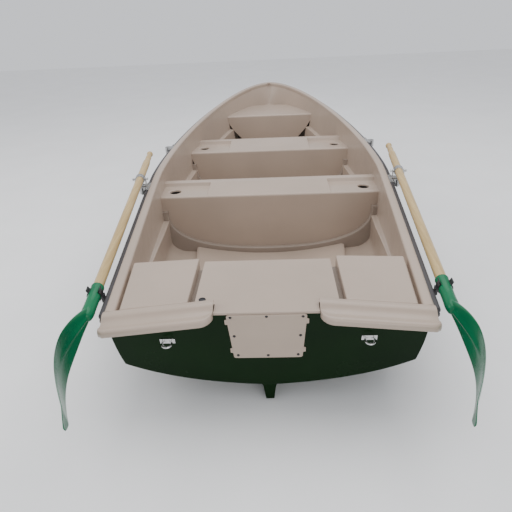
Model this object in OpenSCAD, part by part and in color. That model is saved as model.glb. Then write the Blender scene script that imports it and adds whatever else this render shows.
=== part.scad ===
// Open rowing boat with a moulded inner liner, two thwarts and a pair of stowed oars.
// +Y points to the bow, +X to starboard, +Z up. The origin lies on the waterline,
// on the centreline, at the top of the transom.

/* [Hull] */
// Length from the transom to the foremost point of the rub rail
hull_l = 3936; // [3280:4:4720]
// Half of the greatest beam, over the rub rails
half_beam = 729; // [610:1:870]
// Half of the beam over the rub rails at the transom
transom_half = 622; // [540:1:700]
// Half breadth of the bottom at the chine, amidships
chine_half = 655; // [540:1:680]
// Half breadth of the bottom at the chine, at the transom
transom_chine_half = 553; // [470:1:600]
// Height of the rim at the transom, above the foot of the skeg
sheer_stern = 460; // [420:1:520]
// Height of the rim amidships
sheer_mid = 545; // [500:1:620]
// Height of the rim at the bow
sheer_bow = 692; // [640:1:800]
// Height of the chine at the transom
chine_stern = 228; // [180:1:260]
// Height of the chine amidships
chine_mid = 36; // [20:1:120]
// Height of the chine at the stem
chine_bow = 330; // [280:1:400]
// Height of the keel line at the transom
keel_stern = 95; // [70:1:120]
// Height of the keel line amidships
keel_mid = 2; // [1:1:30]
// Height of the forefoot, where the stem starts
keel_bow = 95; // [60:1:140]
// Thickness of the hull skin
skin = 6; // [4:0.5:9]
// Thickness of the transom plate
transom_t = 8; // [6:0.5:14]
// Rake of the transom, in degrees from upright
rake = 8.5; // [0:0.5:14]
// Height of the waterline with nobody aboard, above the foot of the skeg
waterline = 92; // [60:1:120]

// Width of the skeg where it leaves the keel
skeg_w = 54; // [40:1:66]
// Width of the skeg along its foot
skeg_foot_w = 30; // [20:1:40]
// Where the skeg ends, along the keel line (1 is amidships)
skeg_run = 0.62; // [0.4:0.01:0.8]

/* [Rim and rails] */
// Width of the rub rail
rail_w = 24; // [16:1:32]
// Height of the rub rail
rail_h = 42; // [30:1:50]
// Drop from the top of the rim to the top of the rub rail
rail_drop = 14; // [10:1:20]
// Width of the rim between its outer lip and its inner edge
rim_w = 42; // [34:1:60]
// Wall thickness of the rim
rim_t = 6; // [4:0.5:8]
// Depth of the rim's inner return
rim_return = 30; // [20:1:40]
// Depth of the rim's outer lip
rim_lip = 50; // [40:1:60]

/* [Liner] */
// Wall thickness of the liner
liner_t = 5; // [3:0.5:8]
// Width of the ledge that runs along both sides
ledge_w = 24; // [12:1:40]
// Height of the raised floor above the liner's bottom, on the centreline
floor_h = 11; // [9:1:40]
// Half width of the raised floor at its fore end
floor_half = 460; // [380:1:520]
// Rise of the raised floor from the centreline to its edges
floor_rise = 56; // [45:1:70]
// Distance from the transom to the aft end of the raised floor
floor_y = 640; // [600:5:900]

/* [Stern] */
// Height of the middle stern seat above the foot of the skeg
seat_z = 483; // [440:1:520]
// Length of the stern seat, from the transom forward
seat_l = 370; // [300:1:440]
// Half width of the middle stern seat
seat_half = 262; // [200:1:300]
// Width of the groove between the seat and each locker
groove_w = 24; // [12:1:36]
// Rise of the lockers above the middle seat
locker_rise = 10; // [0:1:24]
// Half width of the notch for the motor
notch_half = 188; // [150:1:230]
// Overhang of the transom cap behind the transom
cap_reach = 62; // [40:1:80]
// Slope of the caps, down towards the quarters
cap_slope = 0.105; // [0:0.005:0.16]
// Width of the motor pad at its top
pad_top = 286; // [220:1:320]
// Width of the motor pad at its foot
pad_foot = 256; // [200:1:300]
// Height of the motor pad
pad_h = 216; // [160:1:260]
// Thickness of the motor pad
pad_t = 6; // [4:0.5:12]
// Radius of the stern eye's rod
eye_r = 4; // [3:0.5:6]

/* [Thwarts] */
// Distance from the transom to the aft edge of the midship thwart
mid_thwart_y = 1315; // [1200:5:1450]
// Height of the midship thwart
mid_thwart_z = 440; // [400:1:470]
// Distance from the transom to the aft edge of the forward thwart
fore_thwart_y = 2220; // [2050:5:2350]
// Height of the forward thwart
fore_thwart_z = 455; // [420:1:490]
// Fore-and-aft width of the midship thwart
mid_thwart_w = 250; // [200:1:320]
// Fore-and-aft width of the forward thwart
fore_thwart_w = 300; // [200:1:340]
// Depth of the lowered ends of both thwarts
end_drop = 23; // [12:1:30]
// Width of the raised strip in front of the lowered ends
end_strip = 62; // [40:1:80]
// Radius of the hole in each lowered end
hole_r = 34; // [20:1:40]
// Depth of those holes
hole_depth = 60; // [30:1:90]
// Distance from the transom to the aft edge of the bow seat
bow_seat_y = 3150; // [3000:5:3300]
// Height of the bow seat
bow_seat_z = 505; // [470:1:540]
// Fore-and-aft length of the bow seat
bow_seat_l = 520; // [400:5:560]
// Height of the foot band over the liner's bottom, on the centreline
foot_h = 45; // [30:1:60]
// How far below the thwart's top the foot band runs out at the sides
foot_end = 110; // [90:1:140]
// Depth of the foot band, aft of the face
foot_w = 26; // [12:1:40]

/* [Rowlocks] */
// Distance from the transom to the aft rowlock pins
aft_lock_y = 1270; // [1100:5:1400]
// Distance from the transom to the forward rowlock sockets
fore_lock_y = 1985; // [1850:5:2100]
// Distance from the rub rail out to the rowlock pin
lock_out = 28; // [28:1:36]
// Radius of the rowlock pin
pin_r = 6; // [5:0.5:8]
// Radial clearance of the pin in its socket
pin_gap = 0.05; // [0.03:0.01:0.1]
// Depth of the socket bore
socket_l = 46; // [36:1:60]
// Wall of the socket around its bore
socket_wall = 7; // [5:0.5:10]

/* [Oars] */
// Length of an oar from grip to blade tip
oar_l = 2150; // [1900:10:2400]
// Length of the loom, from the rowlock forward to the end of the grip
loom_l = 415; // [350:5:480]
// Radius of the shaft
shaft_r = 21.5; // [18:0.5:22]
// Height of the shaft's axis over the rim at the rowlock
oar_over_rim = 36; // [36:1:44]
// Distance from the transom to the clip that holds the oar
clip_y = 165; // [130:5:300]
// Distance from the rub rail out to the shaft's axis at the clip
clip_out = 34; // [34:1:44]
// Height of the shaft's axis below the rim at the clip
clip_drop = 6; // [0:1:20]
// Length of the blade with its sleeve
blade_l = 670; // [640:5:760]
// Length of the sleeve that holds the shaft
sleeve_l = 175; // [150:5:200]
// Width of the blade
blade_w = 150; // [120:1:180]
// Thickness of the blade
blade_t = 9; // [6:0.5:12]

/* [Hidden] */

liner_color = [0.72, 0.68, 0.63];
hull_color = [0.05, 0.14, 0.06];
rail_color = [0.16, 0.15, 0.16];
steel_color = [0.62, 0.62, 0.60];
wood_color = [0.76, 0.60, 0.34];
blade_color = [0.03, 0.42, 0.24];
clip_color = [0.05, 0.05, 0.06];

// Resting gap between pieces that only lie against each other
seat_gap = 0.3;
// Room between the hull's top edge and the rim over it
rim_room = 0.8;
// Fit of the seats and the raised floor against the liner's curved faces
seat_fit = 2.4;
thwart_fit = 1.9;
bow_fit = 4.2;
floor_fit = 4.4;
bottom_fit = 2.2;
// Distance from the rail's outer face in to the hull skin, and in to the liner's wall
skin_in = rail_w + 22;
liner_in = rail_w + rim_w;
// The liner's face lies this far inside the hull skin's outer face
liner_off = liner_in - skin_in;
// Stations along the hull, and points down each side and across each half bottom
stations = 30;
side_n = 6;
floor_n = 5;
half_n = side_n + floor_n;

// ---- curves -------------------------------------------------------------------------

function mix(a, b, t) = a + (b - a) * t;
function bez3(p, t) = pow(1 - t, 3) * p[0] + 3 * pow(1 - t, 2) * t * p[1]
    + 3 * (1 - t) * t * t * p[2] + t * t * t * p[3];
function bez2(a, b, c, t) = (1 - t) * (1 - t) * a + 2 * (1 - t) * t * b + t * t * c;
// A line from the transom (u = 0) past its widest point (u = 1) to the stem (u = 2)
function two_part(aft, fore, u) = u < 1 ? bez3(aft, u) : bez3(fore, u - 1);

// Height of the top of the rim at a distance y from the transom
function sheer_z(y) = let (t = y / hull_l, m = 0.45,
    c = ((sheer_mid - sheer_stern) / m - (sheer_bow - sheer_stern)) / (m - 1),
    b = sheer_bow - sheer_stern - c) sheer_stern + b * t + c * t * t;
// The raked plane of the transom
function rake_y(z) = (sheer_stern - z) * tan(rake);

// Plan of the rim, moved in by d from the outer face of the rub rail: [x, y]
function rim_plan(u, d, y0 = 0) = two_part(
    [[transom_half - d, y0], [transom_half + 14 - d, mix(y0, hull_l, 0.045)],
     [half_beam - d, hull_l * 0.33], [half_beam - d, hull_l * 0.38]],
    [[half_beam - d, hull_l * 0.38], [half_beam - d, hull_l * 0.61],
     [half_beam * 0.49 - d * 0.6, hull_l * 0.988 - d], [0, hull_l - d]], u);
function sheer_line(u, off, drop) = let (p = rim_plan(u, skin_in + off, rake_y(sheer_stern - drop)))
    [p[0], p[1], sheer_z(p[1]) - drop];
function chine_line(u, off) = let (z0 = chine_stern + off * 0.6, zm = chine_mid + off * 0.6) two_part(
    [[transom_chine_half - off, rake_y(z0), z0],
     [mix(transom_chine_half, chine_half, 0.6) - off, hull_l * 0.13, mix(z0, zm, 0.55)],
     [chine_half - off, hull_l * 0.27, mix(z0, zm, 0.88)], [chine_half - off, hull_l * 0.38, zm]],
    [[chine_half - off, hull_l * 0.38, zm], [chine_half - off, hull_l * 0.62, zm],
     [chine_half * 0.43 - off * 0.6, hull_l * 0.90 - off, mix(zm, chine_bow, 0.58)],
     [0, hull_l * 0.962 - off * 1.3, chine_bow]], u);
function keel_line(u, off) = let (z0 = keel_stern + off, zm = keel_mid + off) two_part(
    [[0, rake_y(z0), z0], [0, hull_l * 0.15, mix(z0, zm, 0.65)], [0, hull_l * 0.30, zm],
     [0, hull_l * 0.42, zm]],
    [[0, hull_l * 0.42, zm], [0, hull_l * 0.62, zm - 2], [0, hull_l * 0.80 - off, zm + 4],
     [0, hull_l * 0.905 - off * 1.6, keel_bow + off * 0.6]], u);

// A point of the hull's surface moved in by off; v runs from the sheer (0) by the chine
// (side_share) to the keel (1)
side_share = side_n / half_n;
function hull_point(u, v, off, drop) = let (c = chine_line(u, off)) v <= side_share
    ? let (s = sheer_line(u, off, drop), t = v / side_share,
        bulge = [14 * (1 - u / 2), 0, 0]) bez2(s, (s + c) / 2 + bulge, c, t)
    : let (k = keel_line(u, off), t = (v - side_share) / (1 - side_share),
        fy = mix(0.14, 0.62, pow(u / 2, 3)),
        q = [c[0] * 0.62, mix(k[1], c[1], fy), mix(k[2], c[2], 0.14)]) bez2(c, q, k, t);

// How far the liner's face lies inside the hull skin, with its ledge part way down the side
ledge_v = side_share * 0.5;
function liner_depth(v) = v <= ledge_v ? liner_off
    : v <= side_share ? liner_off + ledge_w * (1 - 0.5 * (v - ledge_v) / (side_share - ledge_v))
    : liner_off + ledge_w * 0.5 * (1 - (v - side_share) / (1 - side_share));
// The rim widens inwards towards the stem
bow_widening = 20;
function bow_extra(u) = u < 1.3 ? 0 : bow_widening * pow((u - 1.3) / 0.7, 1.4);
function liner_point(u, v, back) = hull_point(u, v, liner_depth(v) + bow_extra(u) - back, rim_return + seat_gap);

// Bisection for the station where a line of the liner crosses a given y
function liner_u(v, back, y, lo = 0, hi = 2, n = 16) = n == 0 ? (lo + hi) / 2
    : let (m = (lo + hi) / 2) liner_point(m, v, back)[1] < y
        ? liner_u(v, back, y, m, hi, n - 1) : liner_u(v, back, y, lo, m, n - 1);
function liner_at(y, v, back = 0) = let (p = liner_point(liner_u(v, back, y), v, back)) [p[0], p[2]];
// Bisection for the level v where the liner's wall has height z at y
function liner_v(y, z, back, lo = 0, hi = 1, n = 12) = n == 0 ? (lo + hi) / 2
    : let (m = (lo + hi) / 2) liner_at(y, m, back)[1] > z
        ? liner_v(y, z, back, m, hi, n - 1) : liner_v(y, z, back, lo, m, n - 1);

// The same bisection for the rim's plan
function rim_u(y, d, lo = 0, hi = 2, n = 18) = n == 0 ? (lo + hi) / 2
    : let (m = (lo + hi) / 2) rim_plan(m, d)[1] < y ? rim_u(y, d, m, hi, n - 1) : rim_u(y, d, lo, m, n - 1);
function rim_x(y, d = 0) = rim_plan(rim_u(y, d), d)[0];
// Angle of the rim against the centreline at y, positive where it closes towards the bow
function rim_turn(y) = atan((rim_x(y - 20) - rim_x(y + 20)) / 40);

// Slope of the rim at y, positive where it rises towards the bow
function rim_rise(y) = atan((sheer_z(y + 20) - sheer_z(y - 20)) / 40);

// ---- building blocks ----------------------------------------------------------------

module afloat() { translate([0, 0, -waterline]) children(); }
module mirrored(side) { scale([side, 1, 1]) children(); }

// A solid through rings that all have the same number of points, closed at both ends; swap
// turns the diagonals over, so that a mirrored solid gets mirrored faces
module loft(rings, swap = false) {
    m = len(rings[0]);
    n = len(rings) - 1;
    points = [for (r = rings) each r];
    sides = [for (i = [0 : n - 1], j = [0 : m - 1]) let (k = (j + 1) % m, a = i * m, b = a + m)
        each swap ? [[a + j, b + j, a + k], [a + k, b + j, b + k]] : [[a + j, b + j, b + k], [a + j, b + k, a + k]]];
    aft_end = [[for (j = [0 : m - 1]) j]];
    fore_end = [[for (j = [m - 1 : -1 : 0]) n * m + j]];
    polyhedron(points, concat(sides, aft_end, fore_end), convexity = 8);
}

// A thin moulded skin between an outer and an inner surface. Each is a function value
// table: rows along the hull, columns from the starboard sheer by the keel to port.
// The last row is the stem, where the port and starboard halves share their points.
module moulding(outer, inner) {
    n = len(outer) - 1;
    h = half_n;
    m = 4 * h + 2;
    points = [for (i = [0 : n]) each concat(outer[i], [for (j = [2 * h : -1 : 0]) inner[i][j]])];
    function id(i, j) = i < n ? i * m + j
        : j > h && j <= 2 * h ? n * m + 2 * h - j
        : j > 2 * h && j <= 3 * h ? n * m + 6 * h + 2 - j : n * m + j;
    function whole(f) = [for (t = f) if (t[0] != t[1] && t[1] != t[2] && t[0] != t[2]) t];
    sides = [for (i = [0 : n - 1], j = [0 : m - 1]) let (k = (j + 1) % m)
        each whole([[id(i, j), id(i + 1, j), id(i + 1, k)], [id(i, j), id(i + 1, k), id(i, k)]])];
    aft_end = [for (j = [0 : 2 * h - 1]) let (a = m - 1 - j)
        each [[j, j + 1, a - 1], [j, a - 1, a]]];
    polyhedron(points, concat(sides, aft_end), convexity = 10);
}
function station(i) = 2 * (1 - pow(1 - i / stations, 1.25));
function both_sides(half) = concat(half, [for (j = [len(half) - 2 : -1 : 0]) [-half[j][0], half[j][1], half[j][2]]]);

// ---- hull -----------------------------------------------------------------------------

module hull_shell() {
    function top(i) = i == 0 ? stern_drop + 1 : rim_t + rim_room;
    function skin_rows(off) = [for (i = [0 : stations]) both_sides(
        [for (j = [0 : half_n]) hull_point(station(i), j / half_n, off, top(i))])];
    color(hull_color) moulding(skin_rows(0), skin_rows(skin));
}

// Drop from the top of a cap to the transom's top edge inside it
cap_hollow = 22.6;
// The same drop counted from the rim, at the hull's corner
stern_drop = cap_hollow - 3 - cap_slope * (skin_in - rail_w);
// The top of the transom follows the caps, and is level across the notch
function cap_z(x) = sheer_stern + 3 + cap_slope * (transom_half - rail_w - abs(x));
module transom() {
    under = cap_hollow;
    edge = [for (j = [0 : half_n]) hull_point(0, j / half_n, 0, stern_drop)];
    outline = concat([for (p = edge) [p[0], p[2]]],
        [for (j = [half_n - 1 : -1 : 0]) [-edge[j][0], edge[j][2]]],
        [[-notch_half - 30, cap_z(notch_half + 30) - under], [-notch_half, seat_z - sill_t + 1],
         [-notch_half + 0.5, seat_z - sill_t], [notch_half - 0.5, seat_z - sill_t],
         [notch_half, seat_z - sill_t + 1], [notch_half + 30, cap_z(notch_half + 30) - under]]);
    color(hull_color) translate([0, 0, sheer_stern]) rotate([90 + rake, 0, 0])
        linear_extrude(transom_t)
            polygon([for (p = outline) [p[0], (p[1] - sheer_stern) / cos(rake)]]);
}

module skeg() {
    foot_r = 14;
    sole = [for (i = [0 : 10]) let (k = keel_line(i / 10 * skeg_run, 0)) [k[1], k[2] - seat_gap]];
    last = sole[len(sole) - 1];
    color(hull_color) intersection() {
        translate([0, hull_l, 0]) rotate([90, 0, 0]) linear_extrude(hull_l)
            polygon([[-skeg_foot_w / 2, 0], [skeg_foot_w / 2, 0], [skeg_w / 2, keel_stern + 1], [-skeg_w / 2, keel_stern + 1]]);
        translate([-skeg_w / 2, 0, 0]) rotate([90, 0, 90]) linear_extrude(skeg_w) polygon(concat(sole, [[last[0], last[1] - 3], [last[0] * 0.72, 4]],
            [for (a = [270 : -15 : 180]) [rake_y(0) + foot_r + foot_r * cos(a), foot_r + foot_r * sin(a)]]));
    }
}

module inner_liner() {
    function liner_rows(back) = [for (i = [0 : stations]) both_sides(
        [for (j = [0 : half_n]) liner_point(station(i), j / half_n, back)])];
    color(liner_color) moulding(liner_rows(liner_t), liner_rows(0));
}

// Height of the liner's bottom at the centreline
function sole_z(y) = liner_at(y, 1)[1];
// Bisection for the level v where the liner's bottom has half width x at y
function liner_w(y, x, lo = 0, hi = 1, n = 12) = n == 0 ? (lo + hi) / 2
    : let (m = (lo + hi) / 2) liner_at(y, m)[0] > x ? liner_w(y, x, m, hi, n - 1) : liner_w(y, x, lo, m, n - 1);
// Points of the liner's face at y, from height z down to half width x_in, held in by gap
path_n = 9;
function liner_path(y, z, x_in, gap) = let (v0 = liner_v(y, z, 0), v1 = liner_w(y, x_in + gap))
    [for (i = [0 : path_n]) let (p = liner_at(y, mix(v0, v1, i / path_n))) [p[0] - gap, y, p[1] + gap]];

// The raised floor ends against the foot of the midship thwart
floor_front = mid_thwart_y - foot_w - seat_gap;
function floor_z(y, x) = sole_z(y) + floor_h + floor_rise * pow(x / floor_half, 2);
module floor_platform() {
    bevel = 6;
    rows = [for (i = [0 : 6]) let (y = mix(floor_y, floor_front, i / 6), x = floor_half * mix(0.86, 1, i / 6),
        half = concat([[x - bevel, floor_z(y, x - bevel)], [x, floor_z(y, x) - bevel]],
            [for (t = [0.97, 0.8, 0.6, 0.4, 0.2]) [x * t, liner_at(y, liner_w(y, x * t))[1] + floor_fit]]))
        concat([for (p = half) [p[0], y, p[1]]], [[0, y, sole_z(y) + floor_fit]],
            [for (j = [len(half) - 1 : -1 : 0]) [-half[j][0], y, half[j][1]]],
            [for (t = [-0.75 : 0.25 : 0.75]) [x * t, y, floor_z(y, x * t)]])];
    color(liner_color) loft(rows);
}

// ---- rim and rails --------------------------------------------------------------------

// A profile of [distance in from the rail's face, height over the rim] points carried
// along one side of the rim
module along_rim(profile, side, y0 = 0) {
    rings = [for (i = [0 : stations]) let (u = station(i)) [for (q = profile)
        let (d = q[0] > rail_w + rim_w / 2 ? q[0] + bow_extra(u) : q[0], p = rim_plan(u, d, y0)) [max(p[0], seat_gap / 2) * side, p[1], sheer_z(p[1]) + q[1]]]];
    loft([for (r = rings) side > 0 ? r : backward(r)], side < 0);
}

module gunwale(side) {
    a = rail_w;
    b = liner_in;
    profile = [[a, -rim_lip], [a, -10], [a + 3, -3], [a + 10, 0], [b - 10, 0], [b - 3, -3], [b, -10],
        [b, -rim_return], [b - rim_t, -rim_return], [b - rim_t, -12], [b - rim_t - 3, -rim_t],
        [a + rim_t + 4, -rim_t], [a + rim_t, -12], [a + rim_t, -rim_lip]];
    color(liner_color) along_rim(profile, side, cap_front);
}

module rub_rail(side) {
    lo = -rail_drop - rail_h;
    hi = -rail_drop;
    profile = [[rail_w - seat_gap, lo], [8, lo], [2, lo + 6], [0, lo + 14], [0, hi - 14], [2, hi - 6], [8, hi],
        [rail_w - seat_gap, hi]];
    color(rail_color) along_rim(profile, side, cap_front);
}

module transom_cap(side) {
    outer = transom_half - rail_w - 1;
    corner = 44;
    profile = [[45, -3], [30, 0], [10, -5], [-12, -17], [-30, -21], [-44, -25], [-56, -30],
        [-cap_reach, -37], [-cap_reach, -47], [-cap_reach + rim_t, -47], [-cap_reach + rim_t, -39], [-48, -34],
        [-38, -30], [-28, -27], [-8, -23], [12, -11], [30, -6], [45, -9]];
    xs = concat([for (a = [0 : 15 : 90]) notch_half + corner * (1 - cos(a))],
        [for (i = [1 : 6]) mix(notch_half + corner, outer, i / 6)]);
    function reach(x) = x >= notch_half + corner ? 1
        : 0.35 + 0.65 * sqrt(1 - pow(1 - (x - notch_half) / corner, 2));
    rings = [for (x = xs) [for (q = profile) [side * x, q[0] < 0 ? q[0] * reach(x) : q[0], cap_z(x) + q[1]]]];
    color(liner_color) loft([for (r = rings) side > 0 ? backward(r) : r]);
}

// ---- seats ----------------------------------------------------------------------------

cap_front = 45 + seat_gap;

// The middle seat runs aft between the caps and ends in a sill over the transom
sill_t = 9;
module stern_seat() {
    foot = [for (i = [0 : 3]) let (y = mix(70, seat_l - 20, i / 3)) [y, liner_at(y, liner_w(y, seat_half))[1] + bottom_fit]];
    r = 12;
    color(liner_color) intersection() {
        translate([-seat_half, 0, 0]) rotate([90, 0, 90]) linear_extrude(2 * seat_half)
            polygon([[rake_y(foot[0][1]) + 1, foot[0][1] + 2], foot[0], foot[1], foot[2], foot[3], [seat_l, seat_z - r],
                [seat_l - r * 0.3, seat_z - r * 0.3], [seat_l - r, seat_z], [-transom_t - 4, seat_z],
                [-transom_t - 4, seat_z - sill_t + seat_gap], [rake_y(seat_z - sill_t) + 1, seat_z - sill_t + seat_gap]]);
        linear_extrude(hull_l) polygon([for (side = [-1, 1], p = side < 0
            ? [[seat_half, seat_l + 1], [seat_half, cap_front], [notch_half - 1, cap_front], [notch_half - 1, -60]]
            : [[notch_half - 1, -60], [notch_half - 1, cap_front], [seat_half, cap_front], [seat_half, seat_l + 1]])
            [side * p[0], p[1]]]);
    }
}

// A box seat that fills the liner from one side of the boat to the other
function box_ring(y, z, gap) = let (path = liner_path(y, z, 12, gap))
    concat(path, [for (j = [path_n : -1 : 0]) [-path[j][0], y, path[j][2]]]);
module box_seat(aft, fore, z, gap) {
    rows = 4;
    loft([for (i = [0 : rows]) backward(box_ring(mix(aft, fore, i / rows), z, gap))]);
}
function backward(ring) = [for (j = [len(ring) - 1 : -1 : 0]) ring[j]];
function flipped(ring) = [for (p = ring) [-p[0], p[1], p[2]]];

module stern_locker(side) {
    x_in = seat_half + groove_w;
    z_in = seat_z + locker_rise;
    valley = 20;
    front = seat_l + 10;
    rings = [for (i = [0 : 4]) let (y = mix(cap_front, front, i / 4), edge = sheer_z(y) - rim_return - 6,
            path = liner_path(y, edge, x_in, seat_fit), x_out = path[0][0] - valley)
        concat([[x_in, y, z_in], [x_out, y, edge + 42], [x_out + 6, y, edge + 2]], path)];
    color(liner_color) loft([for (r = rings) side < 0 ? flipped(r) : backward(r)]);
}

// A thwart: a box seat with lowered ends behind a raised strip, a hole in each end, and a
// foot band that stands out along the lower edge of its aft face
module thwart(aft, width, z, recess_in, hole_x) {
    gap = thwart_fit;
    inner_x = 12;
    fore = aft + width;
    step_y = fore - end_strip;
    function whole(half, y) = concat([for (p = half) [p[0], y, p[1]]],
        [for (j = [len(half) - 1 : -1 : 0]) [-half[j][0], y, half[j][1]]]);
    function flat(y, z) = [for (p = liner_path(y, z, inner_x, gap)) [p[0], p[2]]];
    // The middle of the seat slopes down aft, from the strip to the level of the ends
    function middle(y) = z - (end_drop - 0.2) * max(0, (step_y - y) / (step_y - aft));
    function seat_ring(y, drop) = let (path = flat(y, z - drop), m = middle(y)) whole(concat([[inner_x, m],
        [recess_in * 0.33, m], [recess_in * 0.67, m], [recess_in, m], [recess_in + 1, z - drop],
        [mix(recess_in, path[0][0], 0.5), z - drop]], path), y);
    function foot_curve(y) = let (z0 = sole_z(y) + foot_h, w = liner_at(y, liner_v(y, z - foot_end, 0))[0] - 34)
        [for (t = [0, 0.3, 0.5, 0.7, 0.85, 1])
            bez3([[inner_x, z0], [w * 0.7, z0], [w * 1.03, z0 + 2 * foot_h], [w, z - foot_end]], t)];
    function foot_ring(y) = whole(concat(foot_curve(y), flat(y, z - end_drop)), y);
    rings = [foot_ring(aft - foot_w), foot_ring(aft - 3), seat_ring(aft, end_drop),
        seat_ring(mix(aft, step_y, 0.5), end_drop), seat_ring(step_y, end_drop), seat_ring(step_y + 1, 0.2),
        seat_ring(mix(step_y, fore, 0.5), 0.2), seat_ring(fore, 0.2)];
    difference() {
        loft([for (r = rings) backward(r)]);
        for (side = [-1, 1])
            translate([side * hole_x, mix(aft, step_y, 0.5), z - end_drop - hole_depth])
                cylinder(r = hole_r, h = hole_depth + end_drop, $fn = 48);
    }
}
module midship_thwart() {
    color(liner_color) thwart(mid_thwart_y, mid_thwart_w, mid_thwart_z, 365, 580);
}
module forward_thwart() {
    color(liner_color) thwart(fore_thwart_y, fore_thwart_w, fore_thwart_z, 303, 510);
}
module bow_seat() {
    color(liner_color) box_seat(bow_seat_y, bow_seat_y + bow_seat_l, bow_seat_z, bow_fit);
}

// ---- fittings -------------------------------------------------------------------------

module motor_pad() {
    top = seat_z - sill_t - seat_gap;
    color(liner_color) translate([0, 0, sheer_stern]) rotate([90 + rake, 0, 0])
        translate([0, 0, transom_t + seat_gap]) linear_extrude(pad_t)
            polygon([[-pad_top / 2, (top - sheer_stern) / cos(rake)], [pad_top / 2, (top - sheer_stern) / cos(rake)],
                [pad_foot / 2, (top - pad_h - sheer_stern) / cos(rake)], [-pad_foot / 2, (top - pad_h - sheer_stern) / cos(rake)]]);
}

// A bent rod eye with two legs and a round base plate; it stands out along -Z
module eye(span, reach) {
    for (x = [-1, 1]) translate([x * span / 2, 0, -reach]) cylinder(r = eye_r, h = reach, $fn = 24);
    translate([0, 0, -reach]) rotate([-90, 0, 0])
        rotate_extrude(angle = 180, $fn = 48) translate([span / 2, 0]) circle(r = eye_r, $fn = 24);
    translate([0, 0, -3]) linear_extrude(3) square([span + 22, 22], center = true);
}
module stern_eye(side) {
    z = sheer_stern - 108;
    color(steel_color) translate([side * 368, rake_y(z) - transom_t / cos(rake) - seat_gap, z])
        rotate([-90 + rake, 0, 0]) eye(34, 18);
}
module bow_eye() {
    z = sheer_bow - 190;
    p = hull_point(2, 0.28, 0, rim_t);
    color(steel_color) translate([0, p[1] + 0.5, p[2]]) rotate([90 - 16, 0, 0]) rotate([0, 0, 90]) eye(34, 20);
}

// Frame of a rowlock: origin on the pin's axis at the height of the rim
lock_r = pin_r + pin_gap + socket_wall;
plate_top = -rail_drop + 5;
module at_lock(y, side) {
    mirrored(side) translate([rim_x(y) + lock_out * cos(rim_turn(y)), y, sheer_z(y)]) rotate([0, 0, rim_turn(y)]) children();
}
module rowlock_socket(y, side) {
    plate_l = 104;
    tongue_l = 36;
    lip = lock_out + rail_w - seat_gap;
    color(steel_color) at_lock(y, side) difference() {
        union() {
            translate([0, 0, plate_top - socket_l]) cylinder(r = lock_r, h = socket_l, $fn = 48);
            rotate([rim_rise(y), 0, 0]) {
                translate([-lip + 1.5, -plate_l / 2, -rail_drop + seat_gap + 0.2])
                    cube([lip - lock_out - 1.5, plate_l, plate_top + rail_drop - seat_gap - 1.2]);
                translate([-lip + 1.5, -tongue_l / 2, -rail_drop + seat_gap + 0.2])
                    cube([lip - 1.5, tongue_l, plate_top + rail_drop - seat_gap - 1.2]);
                translate([-lock_out + 1, -tongue_l / 2, -rail_drop - rail_h + 6]) cube([5, tongue_l, rail_h - 2]);
            }
            translate([-lock_out + 3, -8, -rail_drop - 34]) cube([lock_out - 3, 16, 36]);
        }
        translate([0, 0, plate_top - socket_l - 1]) cylinder(r = pin_r + pin_gap, h = socket_l + 2, $fn = 48);
    }
}

// The stowed oar runs from its rowlock aft and down to its clip
lock_x = rim_x(aft_lock_y) + lock_out * cos(rim_turn(aft_lock_y));
lock_z = sheer_z(aft_lock_y) + oar_over_rim;
clip_x = rim_x(clip_y) + clip_out;
clip_z = sheer_z(clip_y) - clip_drop;
run_x = lock_x - clip_x;
run_y = aft_lock_y - clip_y;
run_z = lock_z - clip_z;
oar_yaw = atan(run_x / run_y);
oar_dip = atan(run_z / sqrt(run_x * run_x + run_y * run_y));
// Frame of an oar: origin at the rowlock, +Y along the shaft towards the grip
module at_oar(side) {
    mirrored(side) translate([lock_x, aft_lock_y, lock_z]) rotate([0, 0, -oar_yaw]) rotate([oar_dip, 0, 0]) children();
}

// The sleeve of the blade: its outer radius, its bore and the shaft's radius inside it
sleeve_r = shaft_r + 3;
tenon_r = sleeve_r - 6.5;
sleeve_gap = 0.15;
// The blade's root closes the end of the sleeve
root_l = 24;
collar_r = shaft_r + 4;
arm_in = collar_r + 2.2;
arm_t = 5;
trunnion_r = 5;
module rowlock(side) {
    shoulder = 5.5;
    plate = plate_top + seat_gap - oar_over_rim;
    bar_lo = plate + shoulder;
    bar_t = 7;
    eye_out = 9;
    color(steel_color) mirrored(side) translate([lock_x, aft_lock_y, lock_z]) rotate([0, 0, -oar_yaw]) difference() {
        union() {
            translate([0, 0, plate - socket_l - 6]) cylinder(r = pin_r, h = socket_l + 8, $fn = 48);
            translate([0, 0, plate]) cylinder(r = pin_r + 4, h = shoulder + 1, $fn = 48);
            translate([-arm_in - arm_t, -8, bar_lo]) cube([2 * (arm_in + arm_t), 16, bar_t]);
            for (x = [-1, 1]) translate([x > 0 ? arm_in : -arm_in - arm_t, 0, 0]) {
                translate([0, -8, bar_lo]) cube([arm_t, 16, -bar_lo]);
                rotate([0, 90, 0]) cylinder(r = eye_out, h = arm_t, $fn = 48);
            }
        }
        rotate([0, 90, 0]) cylinder(r = trunnion_r + pin_gap, h = 200, center = true, $fn = 48);
    }
}
module oar_collar(side) {
    width = 26;
    color(steel_color) at_oar(side) difference() {
        union() {
            rotate([90, 0, 0]) cylinder(r = collar_r, h = width, center = true, $fn = 64);
            rotate([0, 90, 0]) cylinder(r = trunnion_r, h = 2 * (arm_in + arm_t + 7), center = true, $fn = 48);
        }
        rotate([90, 0, 0]) cylinder(r = shaft_r + 0.1, h = width + 2, center = true, $fn = 64);
    }
}
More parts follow.
